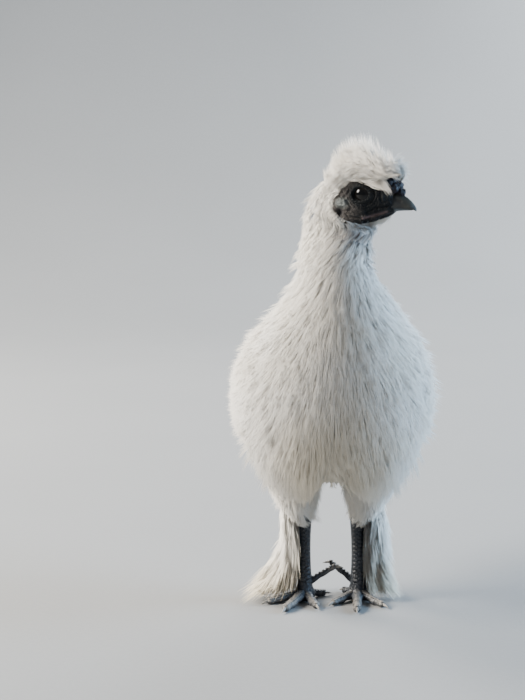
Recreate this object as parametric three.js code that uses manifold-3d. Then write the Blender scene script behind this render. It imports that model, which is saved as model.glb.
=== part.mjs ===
// A young white silkie chicken, life size, standing alert on both feet with its head turned to its left.
// Millimetres, +Z up. The bird faces -Y, its own left side is +X, and the floor is z = 0.
// A piece is first a smooth envelope out to the tips of its plumage. The envelopes are parted from
// each other by thin gaps, and each plumed piece is then a core with locks or vanes inside its envelope.

import * as THREE from "three";
import { mergeVertices } from "three/addons/utils/BufferGeometryUtils.js";
import Module from "manifold-3d";

const wasm = await Module();
wasm.setup();

// Driving dimensions
const GAP = 0.35; // between pieces that touch
const FINENESS = 0.03; // how far a facet may move when facets that lie nearly level are merged
const MERGE = 0.15; // the same, where locks and vanes cross inside one piece
const ROOM = 3; // by which a plumed piece's parting surfaces reach past the tips of its plumage
const SLIT = 0.7; // along the body, where an oblique skirt of plumage parts two pieces
const LEG_SPREAD = 19; // half the distance between the shanks
const LEG_BACK = 12; // how far the legs stand behind the origin of the body's own frame
const HEAD_TURN = 65; // degrees, to the bird's left
const HEAD_AT = new THREE.Vector3(18.5, -38, 294); // midway between the eyes
const CENTRE_SHIFT = new THREE.Vector3(0, -43.7, 0); // puts the origin under the middle of the whole bird

const SIDES = { left: 1, right: -1 };

const RAD = Math.PI / 180;
const UP = new THREE.Vector3(0, 0, 1);

// A small seeded generator, so that the plumage is the same on each run
function seeded(seed) {
  let state = seed;
  return () => {
    state = (state * 1664525 + 1013904223) % 4294967296;
    return state / 4294967296;
  };
}

// Solids from lists of rings

// A closed solid from rings of points. A ring of one point is an apex, and an open end is closed by a fan.
function loft(rings) {
  const points = [];
  const faces = [];
  const starts = rings.map((ring) => {
    const start = points.length;
    points.push(...ring);
    return start;
  });
  const fan = (ring, start, apex, flip) => {
    for (let i = 0; i < ring.length; i++) {
      const a = start + i;
      const b = start + ((i + 1) % ring.length);
      faces.push(flip ? [b, a, apex] : [a, b, apex]);
    }
  };
  const close = (ring, start, flip) => {
    if (ring.length < 5) {
      for (let i = 1; i + 1 < ring.length; i++)
        faces.push(flip ? [start + i + 1, start + i, start] : [start, start + i, start + i + 1]);
      return;
    }
    const middle = new THREE.Vector3();
    ring.forEach((p) => middle.addScaledVector(p, 1 / ring.length));
    points.push(middle);
    fan(ring, start, points.length - 1, flip);
  };
  for (let k = 0; k + 1 < rings.length; k++) {
    const [here, next] = [rings[k], rings[k + 1]];
    const [s, t] = [starts[k], starts[k + 1]];
    if (here.length === 1) fan(next, t, s, true);
    else if (next.length === 1) fan(here, s, t, false);
    else
      for (let i = 0; i < here.length; i++) {
        const j = (i + 1) % here.length;
        faces.push([s + i, s + j, t + i], [s + j, t + j, t + i]);
      }
  }
  if (rings[0].length > 1) close(rings[0], starts[0], true);
  const last = rings.length - 1;
  if (rings[last].length > 1) close(rings[last], starts[last], false);
  return solid(points, faces);
}

// A solid from points and triangles, turned to face outwards
function solid(points, faces) {
  const vertProperties = new Float32Array(points.flatMap((p) => [p.x, p.y, p.z]));
  const make = (list) =>
    new wasm.Manifold(new wasm.Mesh({ numProp: 3, vertProperties, triVerts: new Uint32Array(list.flat()) }));
  const made = make(faces);
  return made.volume() < 0 ? make(faces.map(([a, b, c]) => [a, c, b])) : made;
}

// A solid from one of three.js's closed geometries
function fromGeometry(geometry) {
  geometry.deleteAttribute("normal");
  geometry.deleteAttribute("uv");
  const merged = mergeVertices(geometry, 1e-4);
  const position = merged.getAttribute("position");
  const points = [];
  for (let i = 0; i < position.count; i++) points.push(new THREE.Vector3().fromBufferAttribute(position, i));
  const faces = [];
  for (let i = 0; i < merged.index.count; i += 3)
    faces.push([merged.index.array[i], merged.index.array[i + 1], merged.index.array[i + 2]]);
  return solid(points, faces);
}

// An ellipsoid of the given half sizes, on a frame of its own
function ellipsoid(half, frame, across = 12, down = 8) {
  const ball = new THREE.SphereGeometry(1, across, down);
  ball.scale(half[0], half[1], half[2]);
  ball.applyMatrix4(frame);
  return fromGeometry(ball);
}

const union = (solids) => wasm.Manifold.union(solids);

// Pieces fused into one, with the slivers where they cross merged away
const fused = (solids) => union(solids).simplify(MERGE);

// The largest closed surface of a solid: loose scraps drop away and sealed hollows fill
function largest(made) {
  return made.decompose().reduce((a, b) => (a.volume() > b.volume() ? a : b));
}

// A smooth curve through evenly numbered values
function smooth(values) {
  return (t) => {
    const i = Math.max(0, Math.min(values.length - 2, Math.floor(t)));
    const f = t - i;
    const [b, c] = [values[i], values[i + 1]];
    const a = i > 0 ? values[i - 1] : 2 * b - c;
    const d = i + 2 < values.length ? values[i + 2] : 2 * c - b;
    return b + 0.5 * f * (c - a + f * (2 * a - 5 * b + 4 * c - d + f * (3 * (b - c) + d - a)));
  };
}

// One field of a table of sections, as a smooth curve over the section's number
const fieldsOf = (table) =>
  Object.fromEntries(Object.keys(table[0]).map((key) => [key, smooth(table.map((row) => row[key]))]));

const rounded = (value, power) => Math.sign(value) * Math.abs(value) ** (2 / power);

// The body, from nape to rump, is one form: sections along a spine that comes down the neck and turns
// back over the legs. x, y, z is a section's middle. Turn is how far it faces to the bird's left, and
// tilt its slope, 0 level as across the neck and 90 upright as across the rump. Side, back and front
// are its half sizes out to the tips of the plumage, and coat is how deep that plumage is.
const BODY = [
  { x: 0.4, y: -29.5, z: 307, turn: 65, tilt: 0, side: 7, back: 6, front: 5, coat: 5 },
  { x: -3.2, y: -27.8, z: 298, turn: 65, tilt: 0, side: 13, back: 12, front: 9, coat: 6 },
  { x: -5, y: -27.2, z: 283, turn: 65, tilt: 0, side: 17, back: 17.5, front: 12, coat: 7 },
  { x: 0.6, y: -31, z: 271, turn: 60, tilt: 0, side: 22.5, back: 26, front: 26, coat: 9 },
  { x: -1.6, y: -34, z: 261, turn: 48, tilt: 0, side: 24, back: 24.5, front: 24.5, coat: 11 },
  { x: -3, y: -36, z: 247, turn: 26, tilt: 0, side: 26, back: 26, front: 25.5, coat: 13 },
  { x: -1.3, y: -35, z: 234, turn: 10, tilt: 4, side: 29.5, back: 29, front: 29, coat: 14 },
  { x: 0, y: -32, z: 217, turn: 0, tilt: 12, side: 41, back: 37, front: 38, coat: 18 },
  { x: 0, y: -27, z: 196, turn: 0, tilt: 22, side: 54, back: 51, front: 50, coat: 22 },
  { x: 0, y: -19, z: 175, turn: 0, tilt: 31, side: 64, back: 65, front: 63, coat: 25 },
  { x: 0, y: -4, z: 155, turn: 0, tilt: 40, side: 69, back: 74, front: 72, coat: 25 },
  { x: 0, y: 23, z: 144, turn: 0, tilt: 51, side: 71, back: 71, front: 71, coat: 25 },
  { x: 0, y: 53, z: 142, turn: 0, tilt: 61, side: 68, back: 64, front: 63, coat: 25 },
  { x: 0, y: 82, z: 146, turn: 0, tilt: 70, side: 58, back: 52, front: 51, coat: 24 },
  { x: 0, y: 105, z: 152, turn: 0, tilt: 79, side: 42, back: 37, front: 36, coat: 20 },
  { x: 0, y: 120, z: 158, turn: 0, tilt: 86, side: 24, back: 21, front: 20, coat: 12 },
  { x: 0, y: 128, z: 161, turn: 0, tilt: 90, side: 8, back: 7, front: 7, coat: 4 },
];
const body = fieldsOf(BODY);
const BODY_END = BODY.length - 1;
const NECK_FOOT = 6.6; // the section where the neck's skin ends
const NECK_SKIRT = 8.1; // the section that the neck's hackle reaches down to, over the breast
const RUMP = 14.2; // the section where the torso's skin ends and the tail's begins
const RUMP_SKIRT = 14.9; // the section that the rump's plumage reaches back to, over the tail

// The frame of a section: its middle, its left, its back and its way on along the spine
function sectionFrame(u) {
  const turn = body.turn(u) * RAD;
  const tilt = body.tilt(u) * RAD;
  const left = new THREE.Vector3(Math.cos(turn), Math.sin(turn), 0);
  const back = new THREE.Vector3(-Math.sin(turn), Math.cos(turn), 0)
    .multiplyScalar(Math.cos(tilt))
    .addScaledVector(UP, Math.sin(tilt));
  const middle = new THREE.Vector3(body.x(u), body.y(u), body.z(u));
  return { middle, left, back, along: new THREE.Vector3().crossVectors(back, left) };
}

// A point of the body, v radians round a section from its back, depth mm under the plumage's tips
function bodyPoint(u, v, depth = 0) {
  const { middle, left, back } = sectionFrame(u);
  const [s, c] = [Math.sin(v), Math.cos(v)];
  const side = Math.max(0.5, body.side(u) - depth);
  const reach = Math.max(0.5, (c > 0 ? body.back(u) : body.front(u)) - depth);
  const square = 2.15;
  return middle
    .addScaledVector(left, side * rounded(s, square))
    .addScaledVector(back, reach * rounded(c, square));
}

const coreDepth = (u) => body.coat(u) * 0.5;

function bodyRing(u, depth, count) {
  return [...Array(count).keys()].map((i) => bodyPoint(u, (2 * Math.PI * i) / count, depth));
}

// The body between two sections, at a depth that may change along it
function bodyLoft(from, to, depthAt, { step = 0.5, count = 28 } = {}) {
  const n = Math.max(1, Math.round((to - from) / step));
  const rings = [];
  for (let k = 0; k <= n; k++) {
    const u = from + ((to - from) * k) / n;
    rings.push(bodyRing(u, depthAt(u), count));
  }
  return loft(rings);
}

// All that lies before a parting of the body. It is level with a section inside the core and then
// slopes out along the lie of the plumage to another section. Shift moves it on along the spine.
function before(inner, outer, shift = 0) {
  const COUNT = 14;
  const OUTSIDE = -14;
  const START = -1.5;
  const LENGTHS = 9;
  const STEPS = 3;
  const moved = (ring, u) => ring.map((p) => p.addScaledVector(sectionFrame(u).along, shift));
  const rings = [[sectionFrame(START).middle.clone().addScaledVector(UP, 30)]];
  for (let k = 0; k <= LENGTHS; k++) {
    const u = (outer * k) / LENGTHS;
    rings.push(moved(bodyRing(u, k < LENGTHS ? 2 * OUTSIDE : OUTSIDE, COUNT), u));
  }
  for (let k = 1; k <= STEPS; k++) {
    const t = k / STEPS;
    const u = outer + (inner - outer) * t;
    rings.push(moved(bodyRing(u, OUTSIDE + (coreDepth(inner) - OUTSIDE) * t, COUNT), u));
  }
  rings.push([sectionFrame(inner).middle.clone().addScaledVector(sectionFrame(inner).along, shift)]);
  return loft(rings);
}

// Plumage

// A coat is told by a function that gives a point for a place along the lie, a place round in
// radians and a depth under the tips. A lock is a flat, tapered tuft on such a coat. It leaves the
// core at its root, bends along the lie, is widest at a third of its length and ends at the tips.
const LOCK_STATIONS = [
  { t: 0, wide: 0.5, rise: 1, deep: 0.8 },
  { t: 0.36, wide: 1, rise: 0.42, deep: 1 },
  { t: 0.72, wide: 0.74, rise: 0.08, deep: 0.6 },
];

function lock(coatPoint, from, to, { half, thick, root, tip = 0 }) {
  const rings = LOCK_STATIONS.map(({ t, wide, rise, deep }) => {
    const along = from.along + (to.along - from.along) * t;
    const round = from.round + (to.round - from.round) * t ** 1.4;
    const depth = tip + (root - tip) * rise;
    const middle = coatPoint(along, round, depth);
    const perRadian = coatPoint(along, round + 0.04, depth).distanceTo(middle) / 0.04;
    const spread = (half * wide) / Math.max(perRadian, half);
    return [
      coatPoint(along, round - spread, depth + thick * deep),
      middle,
      coatPoint(along, round + spread, depth + thick * deep),
    ];
  });
  rings.push([coatPoint(to.along, to.round, tip)]);
  return loft(rings);
}

// Rows of locks on a coat, each row half a place round from the one before. Skip leaves a root bare.
function rowsOfLocks(coatPoint, rows, random, skip = () => false) {
  const locks = [];
  rows.forEach((row, k) => {
    for (let i = 0; i < row.count; i++) {
      const spare = (random() - 0.5) * 0.3;
      const place = (i + 0.5 * (k % 2) + spare) / row.count;
      const start = row.start ?? 0;
      const round = start + place * ((row.end ?? start + 2 * Math.PI) - start);
      const reach = row.reach * (0.86 + 0.28 * random());
      const sway = (random() - 0.5) * 0.16;
      const from = { along: row.along + (random() - 0.5) * 0.2 * row.step, round };
      const to = { along: from.along + reach, round: round + (row.droop ?? 0) * Math.sin(round) + sway };
      if (skip(from.along, round)) continue;
      const half = row.half * (0.88 + 0.24 * random());
      locks.push(lock(coatPoint, from, to, { half, thick: row.thick, root: row.root, tip: 0.8 * random() }));
    }
  });
  return locks;
}

// A feather's vane: a thin plate of even thickness that is cut from the same strip of the coat as a
// lock, with its lower edge lifted over the next one and its end rounded.
const VANE_STATIONS = [
  { t: 0, wide: 0.55 },
  { t: 0.4, wide: 0.9 },
  { t: 0.82, wide: 1 },
  { t: 1, wide: 0.4 },
];

function vane(coatPoint, from, to, { half, thick, root, depth, lift }) {
  return loft(
    VANE_STATIONS.map(({ t, wide }) => {
      const along = from.along + (to.along - from.along) * t;
      const round = from.round + (to.round - from.round) * t;
      const here = root + (depth - root) * Math.min(1, t / 0.4);
      const middle = coatPoint(along, round, here);
      const perRadian = coatPoint(along, round + 0.04, here).distanceTo(middle) / 0.04;
      const spread = (half * wide) / perRadian;
      return [
        coatPoint(along, round - spread, here + lift),
        coatPoint(along, round + spread, here - lift),
        coatPoint(along, round + spread, here - lift + thick),
        coatPoint(along, round - spread, here + lift + thick),
      ];
    }),
  );
}

// The head has a frame of its own: forward, to its left, and up from a point midway between the eyes.
const headForward = new THREE.Vector3(Math.sin(HEAD_TURN * RAD), -Math.cos(HEAD_TURN * RAD), 0);
const headLeft = new THREE.Vector3(Math.cos(HEAD_TURN * RAD), Math.sin(HEAD_TURN * RAD), 0);
const headFrame = new THREE.Matrix4().makeBasis(headForward, headLeft, UP).setPosition(HEAD_AT);
const inHead = (forward, left, up) => new THREE.Vector3(forward, left, up).applyMatrix4(headFrame);
const headPlace = (forward, left, up, turn = 0, dip = 0) =>
  headFrame
    .clone()
    .multiply(new THREE.Matrix4().makeTranslation(forward, left, up))
    .multiply(new THREE.Matrix4().makeRotationFromEuler(new THREE.Euler(0, dip * RAD, turn * RAD, "ZYX")));

// A form along the head: sections with a place forward, a top, a bottom, a half width and a squareness
function headLoft(table, { step = 0.5, count = 20, grow = 0, power = 2.2 } = {}) {
  const at = fieldsOf(table);
  const rings = [];
  const n = Math.round((table.length - 1) / step);
  for (let k = 0; k <= n; k++) {
    const t = (k * (table.length - 1)) / n;
    const middle = (at.top(t) + at.bottom(t)) / 2;
    const half = (at.top(t) - at.bottom(t)) / 2 + grow;
    const end = k === 0 ? Math.sign(at.f(0) - at.f(1)) : k === n ? Math.sign(at.f(n) - at.f(n - 1)) : 0;
    const wide = at.half(t) + grow;
    const ring = [];
    for (let i = 0; i < count; i++) {
      const v = (2 * Math.PI * i) / count;
      const side = wide * rounded(Math.sin(v), power);
      ring.push(inHead(at.f(t) + end * grow, side, middle + half * rounded(Math.cos(v), power)));
    }
    rings.push(ring);
  }
  return loft(rings);
}

// The head's skin, from the root of the bill to the nape
const HEAD = [
  { f: 19.5, top: 3, bottom: -12.5, half: 6.4 },
  { f: 16, top: 7, bottom: -15, half: 8.4 },
  { f: 9, top: 12, bottom: -18, half: 10.8 },
  { f: 1, top: 15, bottom: -20.5, half: 12.6 },
  { f: -8, top: 16, bottom: -21, half: 14 },
  { f: -16, top: 14.5, bottom: -20, half: 14.2 },
  { f: -23, top: 9, bottom: -17, half: 11 },
  { f: -27.5, top: -1, bottom: -10, half: 4.5 },
];

const EYE = { forward: 0, side: 7.2, up: 0, radius: 7 };
const LID = { long: 5.9, high: 5, thick: 1.5, side: 12.6 };

function eyeball(side, grow = 0, across = 12, down = 7) {
  const r = EYE.radius + grow;
  return ellipsoid([r, r, r], headPlace(EYE.forward, side * EYE.side, EYE.up), across, down);
}

// The two lids are one ridge round the eye, heavier above
function lids(side) {
  const ACROSS = 14;
  const ROUND = 5;
  const rings = [];
  for (let i = 0; i <= ACROSS; i++) {
    const a = (2 * Math.PI * (i % ACROSS)) / ACROSS;
    const heavy = 1 + 0.3 * Math.sin(a);
    const point = Math.abs(Math.cos(a)) ** 6 * 0.8;
    const centre = [(LID.long + point) * Math.cos(a), LID.high * Math.sin(a)];
    rings.push(
      [...Array(ROUND).keys()].map((k) => {
        const b = (2 * Math.PI * k) / ROUND;
        const out = LID.thick * heavy * Math.cos(b);
        const deep = LID.thick * 1.5 * Math.sin(b) - 0.045 * centre[0] ** 2 * 0.6;
        return inHead(
          EYE.forward + centre[0] + out * Math.cos(a),
          side * (LID.side + deep),
          EYE.up + centre[1] + out * Math.sin(a),
        );
      }),
    );
  }
  return ringed(rings);
}

// A closed hoop from rings whose last is the first again
function ringed(rings) {
  const count = rings[0].length;
  const turns = rings.length - 1;
  const points = rings.slice(0, turns).flat();
  const faces = [];
  for (let k = 0; k < turns; k++)
    for (let i = 0; i < count; i++) {
      const j = (i + 1) % count;
      const [s, t] = [k * count, ((k + 1) % turns) * count];
      faces.push([s + i, s + j, t + i], [s + j, t + j, t + i]);
    }
  return solid(points, faces);
}

// The line of the mouth runs back from the bill as a shallow crease in the cheek
function mouthCrease(side) {
  const steps = 5;
  const rings = [];
  for (let k = 0; k <= steps; k++) {
    const t = k / steps;
    const f = 21 - 14 * t;
    const z = -10.6 - 2.4 * t * t;
    const out = 5.5 + 6.3 * Math.sin((t * Math.PI) / 2);
    const w = 0.75 * (1 - 0.6 * t);
    rings.push([
      inHead(f, side * (out - 2), z),
      inHead(f, side * (out + 4), z + w * 2),
      inHead(f, side * (out + 4), z - w * 2),
    ]);
  }
  return loft(rings);
}

const UPPER_BILL = [
  { f: 12, top: 0.5, bottom: -8.7, half: 7.2 },
  { f: 20, top: 2, bottom: -8.7, half: 6.2 },
  { f: 26, top: -0.6, bottom: -8.8, half: 4.8 },
  { f: 30.5, top: -3.8, bottom: -9.1, half: 3.4 },
  { f: 33, top: -6.6, bottom: -9.7, half: 2 },
  { f: 34.6, top: -9, bottom: -10.6, half: 0.9 },
];
const LOWER_BILL = [
  { f: 12, top: -9.2, bottom: -14.4, half: 6.3 },
  { f: 20, top: -9.2, bottom: -12.8, half: 5.3 },
  { f: 27, top: -9.3, bottom: -11.7, half: 3.6 },
  { f: 32, top: -9.8, bottom: -11, half: 1.5 },
];

// The walnut comb is a cushion of bulbs across the root of the bill
const COMB_BULBS = [
  { f: 13.8, l: 0, u: 10, r: 4.2 },
  { f: 18, l: 0, u: 8.6, r: 4.6 },
  { f: 22.6, l: 0, u: 4.4, r: 4.4 },
  { f: 25.6, l: 0, u: 0, r: 3.2 },
  { f: 16, l: 4.4, u: 6.6, r: 4 },
  { f: 16, l: -4.4, u: 6.6, r: 4 },
  { f: 21, l: 4.4, u: 2, r: 4 },
  { f: 21, l: -4.4, u: 2, r: 4 },
];

function comb(grow = 0) {
  const bulb = ({ f, l, u, r }) => ellipsoid([r + grow, r + grow, r * 0.9 + grow], headPlace(f, l, u), 6, 5);
  return fused(COMB_BULBS.map(bulb));
}

// Small folded wattles under the gape, and pale ear lobes behind the cheeks
function fold(side, [f, l, u], half, grow, turn, dip) {
  const grown = half.map((size) => size + grow);
  return ellipsoid(grown, headPlace(f, side * l, u, side * turn, dip), 8, 5);
}

const wattle = (side, grow = 0) =>
  union([
    fold(side, [9.5, 8.6, -15.6], [8, 1.9, 2.7], grow, 8, -17),
    fold(side, [3, 9.8, -17.8], [5.2, 1.7, 2.6], grow, 8, -10),
  ]);

const earLobe = (side, grow = 0) =>
  union([
    fold(side, [-13.5, 13.4, -5.6], [4.6, 2.1, 3.4], grow, 14, 0),
    fold(side, [-9.6, 13.2, -8.4], [2.4, 1.8, 2.2], grow, 14, 0),
  ]);

// The crest is a puff of plumage from the comb to the nape
const CREST = [
  { f: 26.5, top: 17, bottom: 11, half: 4 },
  { f: 23, top: 20, bottom: 7, half: 8.5 },
  { f: 16, top: 23.5, bottom: 0.8, half: 12.5 },
  { f: 8, top: 29, bottom: 3.5, half: 16 },
  { f: -2, top: 34, bottom: 6.5, half: 18 },
  { f: -12, top: 33, bottom: 1, half: 18.5 },
  { f: -20, top: 26.5, bottom: -6, half: 17.5 },
  { f: -27, top: 15, bottom: -9, half: 12 },
  { f: -31, top: 6, bottom: -6, half: 5 },
];
const crestForm = (grow = 0) => headLoft(CREST, { count: 12, step: 1, grow, power: 2 });
const crestAt = fieldsOf(CREST);
const CREST_COAT = 15; // how deep the crest's plumage is at its top

function crestPoint(along, round, depth) {
  const middle = (crestAt.top(along) + crestAt.bottom(along)) / 2;
  const half = (crestAt.top(along) - crestAt.bottom(along)) / 2;
  const wide = Math.max(0.5, crestAt.half(along) - depth * 0.5);
  const rise = Math.cos(round) > 0 ? Math.max(0.5, half - depth) : Math.max(0.5, half - depth * 0.3);
  return inHead(crestAt.f(along), wide * Math.sin(round), middle + rise * Math.cos(round));
}

// The legs

const legX = (side) => side * LEG_SPREAD;

// A form stacked up the leg: middles and half sizes at rising heights
function legLoft(side, table, { count = 18, grow = 0, step = 0.5 } = {}) {
  const at = fieldsOf(table);
  const rings = [];
  const n = Math.round((table.length - 1) / step);
  for (let k = 0; k <= n; k++) {
    const t = (k * (table.length - 1)) / n;
    const lift = k === 0 ? -grow : k === n ? grow : 0;
    rings.push(
      [...Array(count).keys()].map((i) => {
        const v = (2 * Math.PI * i) / count;
        return new THREE.Vector3(
          side * (at.x(t) + (at.wide(t) + grow) * Math.sin(v)),
          at.y(t) + (at.deep(t) + grow) * Math.cos(v),
          at.z(t) + lift,
        );
      }),
    );
  }
  return loft(rings);
}

// The fluff of the thigh, from the hock up into the flank
const THIGH = [
  { x: 20, y: 16, z: 53, wide: 5.5, deep: 6.5 },
  { x: 22, y: 14, z: 58, wide: 9.5, deep: 12 },
  { x: 24, y: 12, z: 67, wide: 13.5, deep: 18 },
  { x: 26, y: 10, z: 80, wide: 18.5, deep: 25 },
  { x: 30, y: 10, z: 95, wide: 22.8, deep: 30 },
  { x: 31, y: 12, z: 112, wide: 21, deep: 28 },
];
const thighForm = (side, grow = 0) => legLoft(side, THIGH, { count: 12, step: 1, grow });
const thighAt = fieldsOf(THIGH);
const THIGH_TOP = THIGH.length - 1;
const THIGH_COAT = 13;

// The thigh's coat runs down from its top. Round is 0 behind and a quarter turn on the outer side.
const thighPoint = (side) => (along, round, depth) => {
  const t = THIGH_TOP - along;
  const wide = Math.max(0.5, thighAt.wide(t) - Math.min(depth, thighAt.wide(t) * 0.6));
  const deep = Math.max(0.5, thighAt.deep(t) - Math.min(depth, thighAt.deep(t) * 0.6));
  return new THREE.Vector3(
    side * (thighAt.x(t) + wide * Math.sin(round)),
    thighAt.y(t) + deep * Math.cos(round),
    thighAt.z(t),
  );
};

// The bare shank, with the broad scutes of its front as steps
const SHANK = { bottom: 11, top: 58, lean: 7, wide: 4.3, deep: 5.2 };

function shankShaft(side, grow = 0) {
  const SCUTES = 7;
  const COUNT = 7;
  const rings = [];
  const ring = (t, step) => {
    const z = SHANK.bottom + (SHANK.top - SHANK.bottom) * t;
    const waist = 1 + 0.25 * (2 * t - 1) ** 2;
    return [...Array(COUNT).keys()].map((i) => {
      const v = (2 * Math.PI * i) / COUNT;
      const front = Math.max(0, -Math.cos(v));
      return new THREE.Vector3(
        legX(side) + (SHANK.wide * waist + grow) * Math.sin(v),
        LEG_BACK + SHANK.lean * t + (SHANK.deep * waist + grow + step * front) * Math.cos(v),
        z,
      );
    });
  };
  for (let k = 0; k < SCUTES; k++) {
    rings.push(ring((k + 0.02) / SCUTES, 0.9));
    rings.push(ring((k + 0.85) / SCUTES, 0.15));
  }
  const top = ring(1, 0.4);
  top.forEach((p) => (p.z += grow));
  rings.push(top);
  return loft(rings);
}

// The boot: long tufts from the outer side of the shank that sweep out and down over the outer toe.
// High is where a tuft leaves the shank; out, ahead and low are where its tip comes to.
const BOOT = {
  left: [
    { high: 54, out: 23, ahead: -4, low: 34, half: 5 },
    { high: 49, out: 24, ahead: 6, low: 24, half: 5.5 },
    { high: 43, out: 25, ahead: -9, low: 17, half: 6 },
    { high: 36, out: 27, ahead: 3, low: 12, half: 6.5 },
    { high: 30, out: 29, ahead: 14, low: 6, half: 6.5 },
    { high: 25, out: 31, ahead: -10, low: 4, half: 6.5 },
    { high: 19, out: 34, ahead: 2, low: 2, half: 7 },
    { high: 14, out: 33, ahead: 20, low: 1.2, half: 6 },
  ],
  right: [
    { high: 54, out: 17, ahead: -5, low: 33, half: 5 },
    { high: 49, out: 23, ahead: 5, low: 24, half: 5.5 },
    { high: 43, out: 29, ahead: -9, low: 18, half: 6 },
    { high: 36, out: 35, ahead: 4, low: 12, half: 6.5 },
    { high: 30, out: 40, ahead: 16, low: 6, half: 7 },
    { high: 25, out: 43, ahead: -8, low: 5, half: 7 },
    { high: 19, out: 48, ahead: 6, low: 2, half: 7.5 },
    { high: 14, out: 43, ahead: 25, low: 1.2, half: 6.5 },
  ],
};

function bootPlumage(name) {
  const side = SIDES[name];
  return BOOT[name].map(({ high, out, ahead, low, half }) => {
    const root = new THREE.Vector3(legX(side) + side * 1.5, LEG_BACK + 4, high);
    const tip = new THREE.Vector3(legX(side) + side * out, LEG_BACK + 4 - ahead, low);
    const bend = root.clone().lerp(tip, 0.5);
    bend.z += 5;
    bend.x += side * 2;
    const curve = new THREE.QuadraticBezierCurve3(root, bend, tip);
    const flat = new THREE.Vector3(side * 0.8, 0, 0.6);
    const rings = LOCK_STATIONS.map(({ t, wide }) => {
      const middle = curve.getPoint(t);
      const across = new THREE.Vector3().crossVectors(curve.getTangent(t), flat).normalize();
      const outward = new THREE.Vector3().crossVectors(across, curve.getTangent(t)).normalize();
      const edge = (k, rise) =>
        middle
          .clone()
          .addScaledVector(across, k * half * wide)
          .addScaledVector(outward, rise);
      return [edge(-1, -1), edge(0, 1.4 * wide), edge(1, -1)];
    });
    rings.push([tip]);
    return loft(rings);
  });
}

// Five toes: length and where each points, in degrees from straight ahead towards the outside
const TOES = {
  hallux: { angle: -142, reach: 17, thick: 3.1, rise: 0, root: 5 },
  fifth: { angle: -112, reach: 22, thick: 2.7, rise: 15, root: 9 },
  inner: { angle: -38, reach: 27, thick: 3.2, rise: 0, root: 4 },
  middle: { angle: 2, reach: 37, thick: 3.6, rise: 0, root: 4 },
  outer: { angle: 40, reach: 30, thick: 3.2, rise: 0, root: 4 },
};
const FOOT_TURN = { left: -8, right: 24 }; // the whole foot's turn towards its outside
const FOOT_HEIGHT = 9; // top of the root of the toes

// The direction along the floor of an angle from straight ahead towards the outside
function heading(side, angle) {
  return new THREE.Vector3(side * Math.sin(angle * RAD), -Math.cos(angle * RAD), 0);
}

const footAngle = (side, toe) => toe.angle + (side > 0 ? FOOT_TURN.left : FOOT_TURN.right);

// The middle of a toe t of the way along it, with its half height there
function toePoint(side, toe, t) {
  const along = heading(side, footAngle(side, toe));
  const half = toe.thick * (1 - 0.28 * t);
  const arch = toe.rise ? toe.root + toe.rise * t ** 0.8 : half + (toe.root - 1.2) * (1 - t) ** 2.2;
  const place = new THREE.Vector3(legX(side), LEG_BACK, arch).addScaledVector(along, toe.reach * t);
  return { place, half, along };
}

// A toe with its pads below and scutes above. A toe that rests has a flat sole at floor level.
function toeForm(side, toe, grow = 0) {
  const JOINTS = 3;
  const COUNT = 6;
  const STEPS = 6;
  const rings = [];
  const across = new THREE.Vector3().crossVectors(UP, heading(side, footAngle(side, toe)));
  for (let k = 0; k <= STEPS; k++) {
    const t = k / STEPS;
    const { place, half } = toePoint(side, toe, t);
    const pad = 1 + 0.13 * Math.cos(2 * Math.PI * JOINTS * t);
    const end = k === STEPS ? 0.72 : 1;
    rings.push(
      [...Array(COUNT).keys()].map((i) => {
        const v = (2 * Math.PI * (i + 0.5)) / COUNT;
        const p = place
          .clone()
          .addScaledVector(across, (half * pad * end + grow) * Math.sin(v) * 1.05)
          .addScaledVector(UP, (half * end + grow) * Math.cos(v));
        if (!toe.rise) p.z = Math.max(p.z, -grow);
        return p;
      }),
    );
  }
  return loft(rings);
}

// The ball of the foot, where the toes meet
function footPad(side, grow = 0) {
  const COUNT = 12;
  const rings = [
    { z: -grow, r: 6 },
    { z: 1.6, r: 7.4 },
    { z: 6, r: 7.2 },
    { z: FOOT_HEIGHT, r: 6 },
    { z: FOOT_HEIGHT + 3, r: 4.4 },
  ].map(({ z, r }) =>
    [...Array(COUNT).keys()].map((i) => {
      const v = (2 * Math.PI * i) / COUNT;
      const x = legX(side) + (r + grow) * Math.sin(v);
      return new THREE.Vector3(x, LEG_BACK + (r + grow) * Math.cos(v), z);
    }),
  );
  return loft(rings);
}

const footForm = (side, grow = 0) =>
  union([footPad(side, grow), ...Object.values(TOES).map((toe) => toeForm(side, toe, grow))]);

// A claw: a tapered hook that carries on from the end of its toe
function clawForm(side, toe, grow = 0) {
  const LENGTH = 7.5;
  const STEPS = 3;
  const COUNT = 5;
  const { place, half, along } = toePoint(side, toe, 1);
  const across = new THREE.Vector3().crossVectors(UP, along);
  const rings = [];
  for (let k = 0; k < STEPS; k++) {
    const t = k / STEPS;
    const r = half * 0.62 * (1 - t) ** 0.7 + grow;
    const drop = toe.rise ? -1.5 * t * t : -(place.z - r - 0.15) * t * t;
    const middle = place
      .clone()
      .addScaledVector(along, -1.5 + LENGTH * t)
      .addScaledVector(UP, drop + half * 0.15);
    rings.push(
      [...Array(COUNT).keys()].map((i) => {
        const v = (2 * Math.PI * (i + 0.5)) / COUNT;
        const p = middle
          .clone()
          .addScaledVector(across, r * 0.8 * Math.sin(v))
          .addScaledVector(UP, r * Math.cos(v));
        p.z = Math.max(p.z, 0.1 - grow);
        return p;
      }),
    );
  }
  const tip = place.clone().addScaledVector(along, LENGTH - 1 + grow);
  tip.z = toe.rise ? place.z - 2.5 : 0.4;
  rings.push([tip]);
  return loft(rings);
}

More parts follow.
